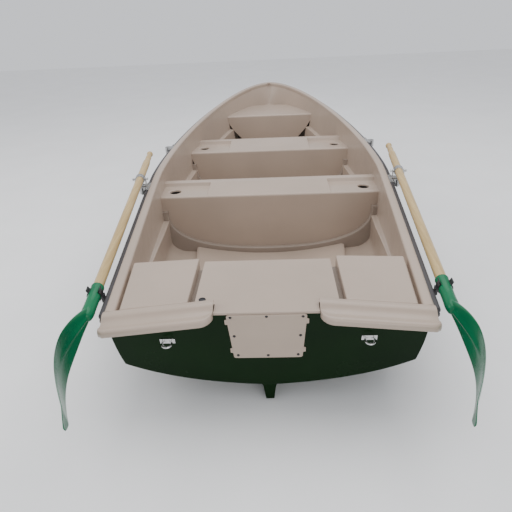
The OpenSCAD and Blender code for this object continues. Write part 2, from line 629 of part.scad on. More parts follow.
module oar_shaft(side) {
    aft = oar_l - loom_l - (blade_l - sleeve_l) - root_l;
    color(wood_color) at_oar(side) rotate([-90, 0, 0]) rotate_extrude($fn = 64)
        polygon([[0, -aft], [tenon_r - 1, -aft], [tenon_r, 6 - aft], [tenon_r, sleeve_l + 2 - root_l - aft],
            [shaft_r, sleeve_l + 60 - root_l - aft], [shaft_r, loom_l - 170], [19, loom_l - 120],
            [16.5, loom_l - 60], [14, loom_l - 42], [14, loom_l - 30], [18, loom_l - 18], [18, loom_l - 8],
            [13, loom_l], [0, loom_l]]);
}
// The blade curves out from the shaft's line and back in towards its tip
module oar_blade(side) {
    tip = loom_l - oar_l;
    flat = blade_l - sleeve_l;
    n = 12;
    function bow_out(s) = 26 * sin(180 * min(s * 1.15, 1)) - 62 * pow(s, 2.2);
    function half_w(s) = blade_w / 2 * (s < 0.45 ? mix(0.3, 1, sin(90 * s / 0.45)) : sqrt(1 - pow((s - 0.45) / 0.56, 4)));
    rings = [for (i = [0 : n]) let (s = i / n, y = tip + (flat + root_l / 2) * (1 - s), w = half_w(s),
        t = blade_t / 2 * mix(2.2, 0.6, min(s * 2.2, 1)))
        [for (a = [0 : 30 : 330]) [bow_out(s) + t * cos(a), y, w * sin(a)]]];
    color(blade_color) at_oar(side) {
        difference() {
            translate([0, tip + flat + sleeve_l, 0]) rotate([90, 0, 0]) cylinder(r = sleeve_r, h = sleeve_l, $fn = 64);
            translate([0, tip + flat + sleeve_l + 1, 0]) rotate([90, 0, 0])
                cylinder(r = tenon_r + sleeve_gap, h = sleeve_l + 1 - root_l + seat_gap, $fn = 64);
        }
        loft(rings);
    }
}
// An open clip on an arm from the rail; the oar drops into it from above
module oar_clip(side) {
    inner = sleeve_r + seat_gap;
    wall = 4;
    width = 30;
    arm = clip_out - inner - 1.5;
    color(clip_color) at_clip(side) {
        rotate([90, 0, 0]) linear_extrude(width, center = true) difference() {
            circle(r = inner + wall, $fn = 48);
            circle(r = inner, $fn = 48);
            polygon([[0, 0], [-60, 70], [60, 70]]);
        }
        translate([-clip_out + 0.7, -width / 2, -30]) cube([arm, width, 26]);
    }
}
module at_clip(side) {
    mirrored(side) translate([clip_x, clip_y, clip_z]) rotate([0, 0, -oar_yaw]) rotate([oar_dip, 0, 0]) children();
}

afloat() hull_shell();
afloat() transom();
afloat() skeg();
afloat() inner_liner();
afloat() floor_platform();
afloat() gunwale(-1);  // gunwale_port
afloat() gunwale(1);  // gunwale_starboard
afloat() rub_rail(-1);  // rub_rail_port
afloat() rub_rail(1);  // rub_rail_starboard
afloat() transom_cap(-1);  // transom_cap_port
afloat() transom_cap(1);  // transom_cap_starboard
afloat() stern_seat();
afloat() stern_locker(-1);  // stern_locker_port
afloat() stern_locker(1);  // stern_locker_starboard
afloat() midship_thwart();
afloat() forward_thwart();
afloat() bow_seat();
afloat() motor_pad();
afloat() stern_eye(-1);  // stern_eye_port
afloat() stern_eye(1);  // stern_eye_starboard
afloat() bow_eye();
afloat() rowlock_socket(aft_lock_y, -1);  // aft_socket_port
afloat() rowlock_socket(aft_lock_y, 1);  // aft_socket_starboard
afloat() rowlock_socket(fore_lock_y, -1);  // forward_socket_port
afloat() rowlock_socket(fore_lock_y, 1);  // forward_socket_starboard
afloat() rowlock(-1);  // rowlock_port
afloat() rowlock(1);  // rowlock_starboard
afloat() oar_collar(-1);  // oar_collar_port
afloat() oar_collar(1);  // oar_collar_starboard
afloat() oar_shaft(-1);  // oar_shaft_port
afloat() oar_shaft(1);  // oar_shaft_starboard
afloat() oar_blade(-1);  // oar_blade_port
afloat() oar_blade(1);  // oar_blade_starboard
afloat() oar_clip(-1);  // oar_clip_port
afloat() oar_clip(1);  // oar_clip_starboard
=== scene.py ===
"""Open rowing boat: a smooth hull and liner, thwarts, stern seats, rim, rails, fittings and
stowed oars. Curves are worked out in millimetres above the foot of the skeg, +Y to the bow
and +X to starboard, and are moved down to the waterline and into metres in one place."""
import math

import bmesh
import bpy
import numpy as np
from mathutils import Matrix, Vector


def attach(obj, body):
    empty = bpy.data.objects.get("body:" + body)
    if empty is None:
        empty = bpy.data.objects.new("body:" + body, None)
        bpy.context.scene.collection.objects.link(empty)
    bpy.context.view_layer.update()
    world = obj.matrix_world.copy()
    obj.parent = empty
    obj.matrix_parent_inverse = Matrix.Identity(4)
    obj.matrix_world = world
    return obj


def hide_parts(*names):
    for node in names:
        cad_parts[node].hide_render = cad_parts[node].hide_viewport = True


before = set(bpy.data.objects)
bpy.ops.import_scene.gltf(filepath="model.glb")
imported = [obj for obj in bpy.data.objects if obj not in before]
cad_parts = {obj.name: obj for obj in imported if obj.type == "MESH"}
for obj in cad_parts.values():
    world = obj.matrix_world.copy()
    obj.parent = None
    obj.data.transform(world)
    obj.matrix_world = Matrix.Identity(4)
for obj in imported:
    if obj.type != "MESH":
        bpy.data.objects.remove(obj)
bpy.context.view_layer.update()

# ---- sizes in millimetres, as in the part's own source --------------------------------

WATERLINE = 92.0
LENGTH = 3936.0
HALF_BEAM = 729.0
STERN_HALF = 622.0
CHINE_HALF = 655.0
STERN_CHINE_HALF = 553.0
# heights at the transom, amidships and at the bow
SHEER = (460.0, 545.0, 692.0)
CHINE = (228.0, 36.0, 330.0)
KEEL = (95.0, 2.0, 95.0)
SHEER_MIDDLE = 0.45
RAKE = math.tan(math.radians(8.5))
# distances in from the rail's outer face, and the skins' thicknesses
RAIL_W = 24.0
SKIN_IN = 46.0
LINER_IN = 66.0
LINER_OFF = LINER_IN - SKIN_IN
SKIN_T = 6.0
LINER_T = 5.0
TRANSOM_T = 8.1
RIM_RETURN = 30.3
# stern caps, seats and the notch between the caps
CAP_FRONT = 45.3
CAP_SLOPE = 0.105
NOTCH_HALF = 188.0
SILL_Z = 474.0
SEAT_Z = 483.0
SEAT_FRONT = 370.0
GROOVE_X = 262.0
# levels v down a section: 0 at the sheer, then the side's ledge, the chine, and 1 at the keel
SIDE_SHARE = 6 / 11
LEDGE_V = SIDE_SHARE / 2
SIDES = (("port", -1), ("starboard", 1))


def mix(a, b, t):
    """Straight blend from a to b."""
    return a + (b - a) * t


def smooth(t):
    """Cubic ease from 0 to 1."""
    t = np.clip(t, 0, 1)
    return t * t * (3 - 2 * t)


def cubic(p, t):
    """Cubic Bezier curve through four control values, each broadcast over t."""
    r = 1 - t
    return r ** 3 * p[0] + 3 * r ** 2 * t * p[1] + 3 * r * t * t * p[2] + t ** 3 * p[3]


def two_part(aft, fore, u):
    """Two cubic Bezier curves joined at u = 1, from the transom at 0 to the stem at 2."""
    u = np.asarray(u, float)[..., None]
    aft = [np.asarray(a, float) for a in aft]
    fore = [np.asarray(a, float) for a in fore]
    return np.where(u < 1, cubic(aft, np.clip(u, 0, 1)), cubic(fore, np.clip(u - 1, 0, 1)))


def sheer_z(y):
    """Parabola for the height of the rim through its heights at the transom, amidships and bow."""
    m = SHEER_MIDDLE
    t = y / LENGTH
    c = ((SHEER[1] - SHEER[0]) / m - (SHEER[2] - SHEER[0])) / (m - 1)
    return SHEER[0] + (SHEER[2] - SHEER[0] - c) * t + c * t * t


def rake_y(z):
    """The transom's plane leans aft as it rises."""
    return (SHEER[0] - z) * RAKE


def rim_plan(u, d, y0=0.0):
    """Plan of the rim moved in by d from the rail's outer face."""
    b = HALF_BEAM
    return two_part(
        [[STERN_HALF - d, y0], [STERN_HALF + 14 - d, mix(y0, LENGTH, 0.045)],
         [b - d, LENGTH * 0.33], [b - d, LENGTH * 0.38]],
        [[b - d, LENGTH * 0.38], [b - d, LENGTH * 0.61],
         [b * 0.49 - d * 0.6, LENGTH * 0.988 - d], [0, LENGTH - d]], u)


def chine_line(u, off):
    """Chine moved in by off: low amidships, rising to the transom and to the stem."""
    z0, zm, c, s = CHINE[0] + off * 0.6, CHINE[1] + off * 0.6, CHINE_HALF, STERN_CHINE_HALF
    return two_part(
        [[s - off, rake_y(z0), z0], [mix(s, c, 0.6) - off, LENGTH * 0.13, mix(z0, zm, 0.55)],
         [c - off, LENGTH * 0.27, mix(z0, zm, 0.88)], [c - off, LENGTH * 0.38, zm]],
        [[c - off, LENGTH * 0.38, zm], [c - off, LENGTH * 0.62, zm],
         [c * 0.43 - off * 0.6, LENGTH * 0.90 - off, mix(zm, CHINE[2], 0.58)],
         [0, LENGTH * 0.962 - off * 1.3, CHINE[2]]], u)


def keel_line(u, off):
    """Keel line moved up by off."""
    z0, zm = KEEL[0] + off, KEEL[1] + off
    return two_part(
        [[0, rake_y(z0), z0], [0, LENGTH * 0.15, mix(z0, zm, 0.65)],
         [0, LENGTH * 0.30, zm], [0, LENGTH * 0.42, zm]],
        [[0, LENGTH * 0.42, zm], [0, LENGTH * 0.62, zm - 2], [0, LENGTH * 0.80 - off, zm + 4],
         [0, LENGTH * 0.905 - off * 1.6, KEEL[2] + off * 0.6]], u)


def hull_point(u, v, off, drop):
    """Hull surface moved in by off: a quadratic Bezier down the side from sheer to chine, and
    another across the bottom from chine to keel; v is 0 at the sheer and 1 at the keel."""
    u, v, off, drop = np.broadcast_arrays(*(np.asarray(a, float) for a in (u, v, off, drop)))
    c, s, k = chine_at(u, off), sheer_at(u, off, drop), keel_at(u, off)
    t = np.clip(v / SIDE_SHARE, 0, 1)[..., None]
    middle = (s + c) / 2
    middle[..., 0] += 14 * (1 - u / 2)
    side = (1 - t) ** 2 * s + 2 * (1 - t) * t * middle + t * t * c
    t = np.clip((v - SIDE_SHARE) / (1 - SIDE_SHARE), 0, 1)[..., None]
    share = mix(0.14, 0.62, (u / 2) ** 3)
    q = np.stack([c[..., 0] * 0.62, mix(k[..., 1], c[..., 1], share),
                  mix(k[..., 2], c[..., 2], 0.14)], -1)
    bottom = (1 - t) ** 2 * c + 2 * (1 - t) * t * q + t * t * k
    return np.where((v <= SIDE_SHARE)[..., None], side, bottom)


def by_offset(line):
    """A line's points depend on off in a straight way, so any off is blended from two lines."""
    def each(u, off):
        a, b = line(u, 0.0), line(u, 1.0)
        return a + (b - a) * off[..., None]
    return each


chine_at = by_offset(chine_line)
keel_at = by_offset(keel_line)


def sheer_at(u, off, drop):
    """The hull's top edge, below the sheer by drop; its height follows the blended plan."""
    a, b = rim_plan(u, SKIN_IN), rim_plan(u, SKIN_IN + 1)
    p = a + (b - a) * off[..., None]
    p[..., 1] = p[..., 1] + rake_y(SHEER[0] - drop) * np.clip(1 - u, 0, 1) ** 3
    return np.concatenate([p, (sheer_z(p[..., 1]) - drop)[..., None]], -1)


def bow_extra(u):
    """The rim widens inwards towards the stem."""
    return 20 * np.clip((u - 1.3) / 0.7, 0, 1) ** 1.4


def ledge_width(u):
    """The side ledge is narrow at the stern and wider from the midship thwart forward."""
    return mix(17.0, 33.0, smooth((u - 0.45) / 0.3))


def liner_depth(u, v):
    """Depth of the liner's face behind the skin: level to the ledge, a rounded step out of the
    ledge's width, and a slow return to nothing at the keel."""
    w = ledge_width(u)
    step = smooth((v - LEDGE_V) / 0.022)
    side = 1 - 0.5 * np.clip((v - LEDGE_V) / (SIDE_SHARE - LEDGE_V), 0, 1)
    bottom = 1 - np.clip((v - SIDE_SHARE) / (1 - SIDE_SHARE), 0, 1)
    return LINER_OFF + w * step * side * mix(1, bottom, (v > SIDE_SHARE))


def liner_point(u, v, back=0.0):
    """The liner's face, moved outwards by back."""
    return hull_point(u, v, liner_depth(u, v) + bow_extra(u) - back, RIM_RETURN)


def soft_liner(u, v, back=0.0):
    """The liner's face with the corner between wall and floor rounded: each point near the
    chine is the mean of its neighbours up and down the section."""
    spread = 0.115 * smooth(1 - np.abs(v - SIDE_SHARE) / 0.20)
    offsets = np.linspace(-1, 1, 9)
    weights = 1 - 0.75 * offsets ** 2
    total = sum(w * liner_point(u, v + k * spread, back) for k, w in zip(offsets, weights))
    return total / weights.sum()


def stations(n):
    """Stations from transom to stem, closer together towards the stem."""
    return 2 * (1 - (1 - np.arange(n + 1) / n) ** 1.25)


# The liner's sections, sampled once: one column per level v
SAMPLE_U = np.linspace(0, 2, 500)
SAMPLE_V = np.concatenate([np.linspace(0, SIDE_SHARE, 90), np.linspace(SIDE_SHARE, 1, 70)[1:]])
SAMPLES = soft_liner(SAMPLE_U[:, None], SAMPLE_V[None, :])


def section(y):
    """Half widths and heights of the liner's section at y, from sheer to keel."""
    columns = range(len(SAMPLE_V))
    return tuple(np.array([np.interp(y, SAMPLES[:, j, 1], SAMPLES[:, j, axis]) for j in columns])
                 for axis in (0, 2))


def wall_x(y, z):
    """Half width of the liner at height z."""
    x, h = section(y)
    return np.interp(z, h[::-1], x[::-1])


def bottom_z(y, x):
    """Height of the liner's bottom at half width x."""
    w, h = section(y)
    return np.interp(np.abs(x), w[::-1], h[::-1])


# ---- making meshes --------------------------------------------------------------------

SHARP = 38
MERGE = 3e-5

def grid_faces(n, m, wrap=False):
    """Quads of an n by m grid; wrap joins the last column to the first."""
    i = np.arange(n - 1)[:, None]
    j = np.arange(m if wrap else m - 1)[None, :]
    k = (j + 1) % m
    quads = np.stack([i * m + j, (i + 1) * m + j, (i + 1) * m + k, i * m + k], -1)
    return quads.reshape(-1, 4).tolist()


def to_row(points):
    """Millimetres above the skeg's foot to metres from the waterline."""
    p = np.array(points, float).reshape(-1, 3)
    p[:, 2] -= WATERLINE
    return p / 1000


def piece(name, points, faces, finish, body="hull", hides=(), sharp=SHARP, bevel=0.0,
          segments=3, at=None):
    """A finished piece from points in millimetres: doubles merged, faces outward, smooth but
    for edges sharper than the given angle."""
    mesh = bpy.data.meshes.new(name)
    points = np.asarray(points, float).reshape(-1, 3)
    if at is not None:
        points = at(points)
    mesh.from_pydata(to_row(points).tolist(), [], faces)
    bm = bmesh.new()
    bm.from_mesh(mesh)
    bmesh.ops.remove_doubles(bm, verts=bm.verts, dist=MERGE)
    bmesh.ops.recalc_face_normals(bm, faces=bm.faces)
    bm.to_mesh(mesh)
    bm.free()
    mesh.shade_smooth()
    mesh.set_sharp_from_angle(angle=math.radians(sharp))
    obj = bpy.data.objects.new(name, mesh)
    bpy.context.scene.collection.objects.link(obj)
    slot, material = finish
    mesh.materials.append(material)
    if bevel:
        rounding = obj.modifiers.new("rounded_edges", "BEVEL")
        rounding.width = bevel / 1000
        rounding.segments = segments
        rounding.limit_method = "ANGLE"
        rounding.angle_limit = math.radians(32)
        rounding.harden_normals = False
    if body:
        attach(obj, body)
        if hides:
            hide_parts(*hides)
    return obj


def rings(name, rows, finish, closed=True, **more):
    """A skin through rows of points; closed rows wrap round and get a face at each end."""
    rows = np.asarray(rows, float)
    n, m = rows.shape[:2]
    faces = grid_faces(n, m, closed)
    if closed:
        faces += [list(range(m)), [(n - 1) * m + j for j in range(m)]]
    return piece(name, rows, faces, finish, **more)


def cut(obj, cutter):
    """Cuts one closed piece out of another and removes the cutter."""
    tool = obj.modifiers.new("cut", "BOOLEAN")
    tool.operation = "DIFFERENCE"
    tool.solver = "EXACT"
    tool.object = cutter
    obj.modifiers.move(len(obj.modifiers) - 1, 0)
    others = [m for m in obj.modifiers if m != tool]
    shown = [m.show_viewport for m in others]
    for m in others:
        m.show_viewport = False
    graph = bpy.context.evaluated_depsgraph_get()
    done = bpy.data.meshes.new_from_object(obj.evaluated_get(graph))
    for m, state in zip(others, shown):
        m.show_viewport = state
    obj.modifiers.remove(tool)
    obj.data = done
    done.shade_smooth()
    done.set_sharp_from_angle(angle=math.radians(SHARP))
    bpy.data.objects.remove(cutter)


def lathe(profile, n=48):
    """Rows of a solid of revolution about Y from [radius, distance along] pairs."""
    p = np.asarray(profile, float)
    a = np.linspace(0, 2 * math.pi, n, endpoint=False)
    return np.stack([p[:, :1] * np.cos(a), np.repeat(p[:, 1:], n, 1), p[:, :1] * np.sin(a)], -1)


def spline(points, n=6):
    """Catmull-Rom curve through the given points, n steps to each span."""
    p = np.asarray(points, float)
    q = np.vstack([2 * p[0] - p[1], p, 2 * p[-1] - p[-2]])
    t = (np.arange(n) / n)[None, :, None]
    a, b, c, d = (q[i:len(q) - 3 + i][:, None] for i in range(4))
    out = 0.5 * (2 * b + (c - a) * t + (2 * a - 5 * b + 4 * c - d) * t * t
                 + (3 * b - a - 3 * c + d) * t ** 3)
    return np.vstack([out.reshape(-1, p.shape[1]), p[-1:]])


def box_points(x0, x1, y0, y1, z0, z1):
    """Two rows of a box, low then high."""
    ring = [(x0, y0), (x1, y0), (x1, y1), (x0, y1)]
    return [[(x, y, z) for x, y in ring] for z in (z0, z1)]


def turned(origin, yaw=0.0, pitch=0.0, side=1):
    """A frame at origin: points are pitched about X, yawed about Z, moved and mirrored to
    their side."""
    cy, cp = (math.cos(math.radians(a)) for a in (yaw, pitch))
    sy, sp = (math.sin(math.radians(a)) for a in (yaw, pitch))
    r = (np.array([[cy, -sy, 0], [sy, cy, 0], [0, 0, 1]])
         @ np.array([[1, 0, 0], [0, cp, -sp], [0, sp, cp]]))

    def at(points):
        p = points @ r.T + np.asarray(origin, float)
        return p * [side, 1, 1]
    return at


# ---- finishes -------------------------------------------------------------------------

def add_group(name, inputs, outputs):
    """An empty shader node group with the given sockets, and its input and output nodes."""
    group = bpy.data.node_groups.new(name, "ShaderNodeTree")
    for socket, kind, value in inputs:
        made = group.interface.new_socket(socket, in_out="INPUT", socket_type=kind)
        made.default_value = value
    for socket, kind in outputs:
        group.interface.new_socket(socket, in_out="OUTPUT", socket_type=kind)
    return group, group.nodes.new("NodeGroupInput"), group.nodes.new("NodeGroupOutput")


def wire(tree, *pairs):
    """Links each (output, input) pair."""
    for a, b in pairs:
        tree.links.new(a, b)


def noise(tree, vector, scale, detail=4.0, rough=0.55):
    """Fractal noise over the given coordinates."""
    node = tree.nodes.new("ShaderNodeTexNoise")
    node.inputs["Detail"].default_value = detail
    node.inputs["Roughness"].default_value = rough
    node.inputs["Scale"].default_value = scale
    tree.links.new(vector, node.inputs["Vector"])
    return node.outputs["Fac"]


def ramp(tree, value, low, high):
    """Maps value from low..high to 0..1."""
    node = tree.nodes.new("ShaderNodeMapRange")
    node.inputs["From Min"].default_value = low
    node.inputs["From Max"].default_value = high
    tree.links.new(value, node.inputs["Value"])
    return node.outputs["Result"]


def feed(tree, *pairs):
    """Links or sets each (value, socket) pair."""
    for value, socket in pairs:
        if isinstance(value, bpy.types.NodeSocket):
            tree.links.new(value, socket)
        else:
            socket.default_value = value


def blend_colours(tree, factor, a, b):
    """Colour a at factor 0, colour b at factor 1."""
    node = tree.nodes.new("ShaderNodeMix")
    node.data_type = "RGBA"
    feed(tree, (factor, node.inputs[0]), (a, node.inputs[6]), (b, node.inputs[7]))
    return node.outputs[2]


def sums(tree, operation, a, b):
    """One arithmetic step on two values or sockets."""
    node = tree.nodes.new("ShaderNodeMath")
    node.operation = operation
    feed(tree, (a, node.inputs[0]), (b, node.inputs[1]))
    return node.outputs[0]


def stretched(tree, place, scale):
    """Coordinates scaled by a different factor along each axis."""
    node = tree.nodes.new("ShaderNodeMapping")
    node.inputs["Scale"].default_value = scale
    tree.links.new(place, node.inputs["Vector"])
    return node.outputs[0]


def skin_group():
    """Moulded or painted skin: slow changes of tone, small scuffs that dull the gloss, fine
    scratches along the boat, and the shallow ripple of a moulded face."""
    tree, source, target = add_group(
        "moulded_skin",
        [("Light", "NodeSocketColor", (1, 1, 1, 1)), ("Dark", "NodeSocketColor", (0, 0, 0, 1)),
         ("Scuffed", "NodeSocketColor", (1, 1, 1, 1)), ("Gloss low", "NodeSocketFloat", 0.3),
         ("Gloss high", "NodeSocketFloat", 0.5), ("Scuffs", "NodeSocketFloat", 0.3),
         ("Ripple", "NodeSocketFloat", 0.3)],
        [("Color", "NodeSocketColor"), ("Roughness", "NodeSocketFloat"),
         ("Height", "NodeSocketFloat")])
    place = tree.nodes.new("ShaderNodeTexCoord").outputs["Object"]
    tone = ramp(tree, noise(tree, place, 2.3, 3.0), 0.32, 0.68)
    cloud = ramp(tree, noise(tree, place, 14.0, 5.0, 0.6), 0.5, 0.78)
    scratches = ramp(tree, noise(tree, stretched(tree, place, (150, 9, 120)), 1.0, 2.0), 0.63, 0.72)
    marks = sums(tree, "MULTIPLY", cloud, scratches)
    wear = sums(tree, "MULTIPLY", marks, source.outputs["Scuffs"])
    base = blend_colours(tree, tone, source.outputs["Light"], source.outputs["Dark"])
    colour = blend_colours(tree, wear, base, source.outputs["Scuffed"])
    patch = sums(tree, "MAXIMUM", ramp(tree, noise(tree, place, 6.0, 6.0, 0.65), 0.45, 0.75), wear)
    gloss = tree.nodes.new("ShaderNodeMapRange")
    wire(tree, (patch, gloss.inputs["Value"]),
         (source.outputs["Gloss low"], gloss.inputs["To Min"]),
         (source.outputs["Gloss high"], gloss.inputs["To Max"]))
    peel = noise(tree, place, 520.0, 2.0, 0.5)
    ripple = sums(tree, "MULTIPLY", noise(tree, place, 26.0, 2.0, 0.4), source.outputs["Ripple"])
    height = sums(tree, "ADD", sums(tree, "MULTIPLY", peel, 0.35),
                  sums(tree, "SUBTRACT", ripple, sums(tree, "MULTIPLY", wear, 0.4)))
    wire(tree, (colour, target.inputs["Color"]),
         (gloss.outputs["Result"], target.inputs["Roughness"]),
         (height, target.inputs["Height"]))
    return tree


def new_material(name, colour, **sockets):
    """A material with a plain Principled shader; returns it, its tree and its shader."""
    material = bpy.data.materials.new(name)
    material.use_nodes = True
    tree = material.node_tree
    shader = tree.nodes["Principled BSDF"]
    material.diffuse_color = (*colour, 1)
    for socket, value in sockets.items():
        shader.inputs[socket.replace("_", " ")].default_value = value
    return material, tree, shader


def relief(tree, shader, height, distance):
    """Feeds a height in millimetres to the shader's normal."""
    bump = tree.nodes.new("ShaderNodeBump")
    bump.inputs["Distance"].default_value = distance / 1000
    bump.inputs["Strength"].default_value = 1.0
    wire(tree, (height, bump.inputs["Height"]), (bump.outputs[0], shader.inputs["Normal"]))


def skin_material(name, light, dark, scuffed, gloss, scuffs, ripple, distance, **sockets):
    """A moulded_skin finish; gloss is its lowest and highest roughness, distance its relief in
    millimetres."""
    material, tree, shader = new_material(name, light, **sockets)
    node = tree.nodes.new("ShaderNodeGroup")
    node.node_tree = SKIN
    for socket, value in (("Light", (*light, 1)), ("Dark", (*dark, 1)), ("Scuffed", (*scuffed, 1)),
                          ("Gloss low", gloss[0]), ("Gloss high", gloss[1]),
                          ("Scuffs", scuffs), ("Ripple", ripple)):
        node.inputs[socket].default_value = value
    wire(tree, (node.outputs["Color"], shader.inputs["Base Color"]),
         (node.outputs["Roughness"], shader.inputs["Roughness"]))
    relief(tree, shader, node.outputs["Height"], distance)
    return material


def wood_material():
    """Varnished softwood: fibres and slow bands stretched along the shaft, under a clear coat."""
    material, tree, shader = new_material("varnished_wood", (0.62, 0.40, 0.17),
                                          Coat_Weight=0.35, Coat_Roughness=0.2)
    place = tree.nodes.new("ShaderNodeTexCoord").outputs["Object"]
    fibres = noise(tree, stretched(tree, place, (520, 9, 520)), 1.0, 4.0)
    bands = noise(tree, stretched(tree, place, (85, 2.2, 85)), 1.0, 3.0)
    base = blend_colours(tree, ramp(tree, bands, 0.36, 0.64),
                         (0.56, 0.41, 0.18, 1), (0.44, 0.30, 0.115, 1))
    dark = sums(tree, "MULTIPLY", ramp(tree, fibres, 0.45, 0.75), 0.5)
    colour = blend_colours(tree, dark, base, (0.36, 0.21, 0.07, 1))
    rough = sums(tree, "ADD", sums(tree, "MULTIPLY", fibres, 0.25), 0.25)
    wire(tree, (colour, shader.inputs["Base Color"]), (rough, shader.inputs["Roughness"]))
    relief(tree, shader, fibres, 0.25)
    return material


def metal_material(name, light, dark, gloss, scale, distance):
    """Metal with slow mottling, as of a zinc coat, or with the faint streaks of polishing."""
    material, tree, shader = new_material(name, light, Metallic=1.0)
    place = tree.nodes.new("ShaderNodeTexCoord").outputs["Object"]
    mottle = noise(tree, place, scale, 4.0, 0.6)
    fine = noise(tree, place, scale * 7, 3.0)
    colour = blend_colours(tree, ramp(tree, mottle, 0.35, 0.68), (*light, 1), (*dark, 1))
    rough = sums(tree, "ADD", sums(tree, "MULTIPLY", mottle, gloss[1] - gloss[0]), gloss[0])
    wire(tree, (colour, shader.inputs["Base Color"]), (rough, shader.inputs["Roughness"]))
    relief(tree, shader, fine, distance)
    return material


SKIN = skin_group()
LINER_SKIN = skin_material(
    "liner_skin", (0.430, 0.340, 0.272), (0.385, 0.305, 0.245), (0.60, 0.53, 0.46),
    gloss=(0.30, 0.50), scuffs=0.35, ripple=1.4, distance=0.22,
    Coat_Weight=0.15, Coat_Roughness=0.25)
# darker copy of the liner plastic: painted shade for the shadowed foot bands under the benches and
# the grooves by the stern seat
PAINTED_SHADE_SKIN = skin_material(
    "liner_skin_painted_shade", (0.305, 0.245, 0.200), (0.265, 0.215, 0.175), (0.46, 0.40, 0.35),
    gloss=(0.42, 0.62), scuffs=0.5, ripple=1.0, distance=0.3)
HULL_PAINT = skin_material(
    "hull_skin_green", (0.0030, 0.0170, 0.0030), (0.0022, 0.0115, 0.0022), (0.025, 0.05, 0.02),
    gloss=(0.18, 0.34), scuffs=0.4, ripple=1.2, distance=0.12, Specular_IOR_Level=0.09)
RAIL_RUBBER = skin_material(
    "rail_rubber", (0.052, 0.047, 0.050), (0.036, 0.033, 0.036), (0.15, 0.14, 0.14),
    gloss=(0.42, 0.62), scuffs=0.6, ripple=0.8, distance=0.35)
PAD_PLASTIC = skin_material(
    "pad_plastic", (0.450, 0.360, 0.290), (0.400, 0.320, 0.258), (0.58, 0.51, 0.45),
    gloss=(0.45, 0.65), scuffs=0.6, ripple=0.6, distance=0.25)
BLADE_PLASTIC = skin_material(
    "blade_plastic", (0.004, 0.165, 0.065), (0.002, 0.092, 0.040), (0.05, 0.33, 0.22),
    gloss=(0.20, 0.34), scuffs=0.5, ripple=0.8, distance=0.14,
    Specular_IOR_Level=0.22, Coat_Weight=0.05, Coat_Roughness=0.14)
CLIP_PLASTIC = skin_material(
    "clip_plastic", (0.014, 0.014, 0.016), (0.009, 0.009, 0.010), (0.08, 0.08, 0.08),
    gloss=(0.28, 0.48), scuffs=0.4, ripple=0.5, distance=0.2)
WOOD = wood_material()
STAINLESS = metal_material("polished_stainless", (0.70, 0.70, 0.69), (0.58, 0.58, 0.58),
                           gloss=(0.08, 0.26), scale=35.0, distance=0.03)
ZINC = metal_material("zinc_coated_steel", (0.50, 0.50, 0.49), (0.34, 0.34, 0.34),
                      gloss=(0.26, 0.58), scale=90.0, distance=0.12)

# each finish is a slot and its material
LINER = ("liner_plastic", LINER_SKIN)
# the liner plastic's darker copy, painted shade
PAINTED_SHADE_LINER = ("liner_plastic", PAINTED_SHADE_SKIN)
HULL = ("hull_green", HULL_PAINT)
RAIL = ("rail_rubber", RAIL_RUBBER)
PAD = ("pad_plastic", PAD_PLASTIC)
BLADE = ("blade_plastic", BLADE_PLASTIC)
CLIP = ("clip_plastic", CLIP_PLASTIC)
SHAFT = ("oar_wood", WOOD)
STEEL = ("stainless", STAINLESS)
GALVANISED = ("galvanised", ZINC)


def refinish(material, *nodes):
    """Puts a material on CAD nodes that stay as they are."""
    for node in nodes:
        for slot in bpy.data.objects[node].material_slots:
            slot.material = material


# ---- hull and liner -------------------------------------------------------------------

def both_sides(half):
    """Starboard columns from the sheer to the keel, then port columns back to the sheer."""
    return np.concatenate([half, half[:, -2::-1] * [-1, 1, 1]], 1)


def moulding(name, face, back, finish, **more):
    """A thin skin: the face, then the back in reverse order, wrapped round."""
    rows = np.concatenate([both_sides(face), both_sides(back)[:, ::-1]], 1)
    return rings(name, rows, finish, **more)


def levels(side, bottom):
    """Levels down the side and across the bottom."""
    return np.concatenate([np.linspace(0, SIDE_SHARE, side),
                           np.linspace(SIDE_SHARE, 1, bottom)[1:]])


hull_u = stations(96)[:, None]
hull_v = levels(22, 26)[None, :]
# the skin's top edge dips under the stern caps
hull_drop = mix(18.3, 6.8, np.clip(hull_u / 0.083, 0, 1))
moulding("hull_skin", hull_point(hull_u, hull_v, 0.0, hull_drop),
         hull_point(hull_u, hull_v, SKIN_T, hull_drop), HULL, hides=("hull_shell",), sharp=30)

# more levels where the ledge steps in
ledge_v = LEDGE_V + np.linspace(-0.004, 0.026, 9)
liner_v = np.unique(np.concatenate([levels(30, 26), ledge_v]))[None, :]
moulding("liner", soft_liner(hull_u, liner_v), soft_liner(hull_u, liner_v, LINER_T), LINER,
         hides=("inner_liner",), sharp=60)


def cap_z(x):
    """Top of the caps, sloping down to the quarters."""
    return SHEER[0] + 3 + CAP_SLOPE * (STERN_HALF - RAIL_W - np.abs(x))


def plate_edge():
    """Outline of the transom: the hull's own section, closed by the caps' slope and the notch."""
    edge = hull_point(0.0, levels(18, 22), 0.0, 19.5)[:, [0, 2]]
    step = NOTCH_HALF + 30
    under_cap = cap_z(step) - 22.6
    top = [[-step, under_cap], [-NOTCH_HALF, SILL_Z], [NOTCH_HALF, SILL_Z], [step, under_cap]]
    return np.concatenate([edge, edge[-2::-1] * [-1, 1], top])


outline = plate_edge()
rings("transom_panel", [[(x, rake_y(z) - out, z) for x, z in outline] for out in (-1.0, TRANSOM_T)],
      HULL, hides=("transom",), sharp=30, bevel=3.5)


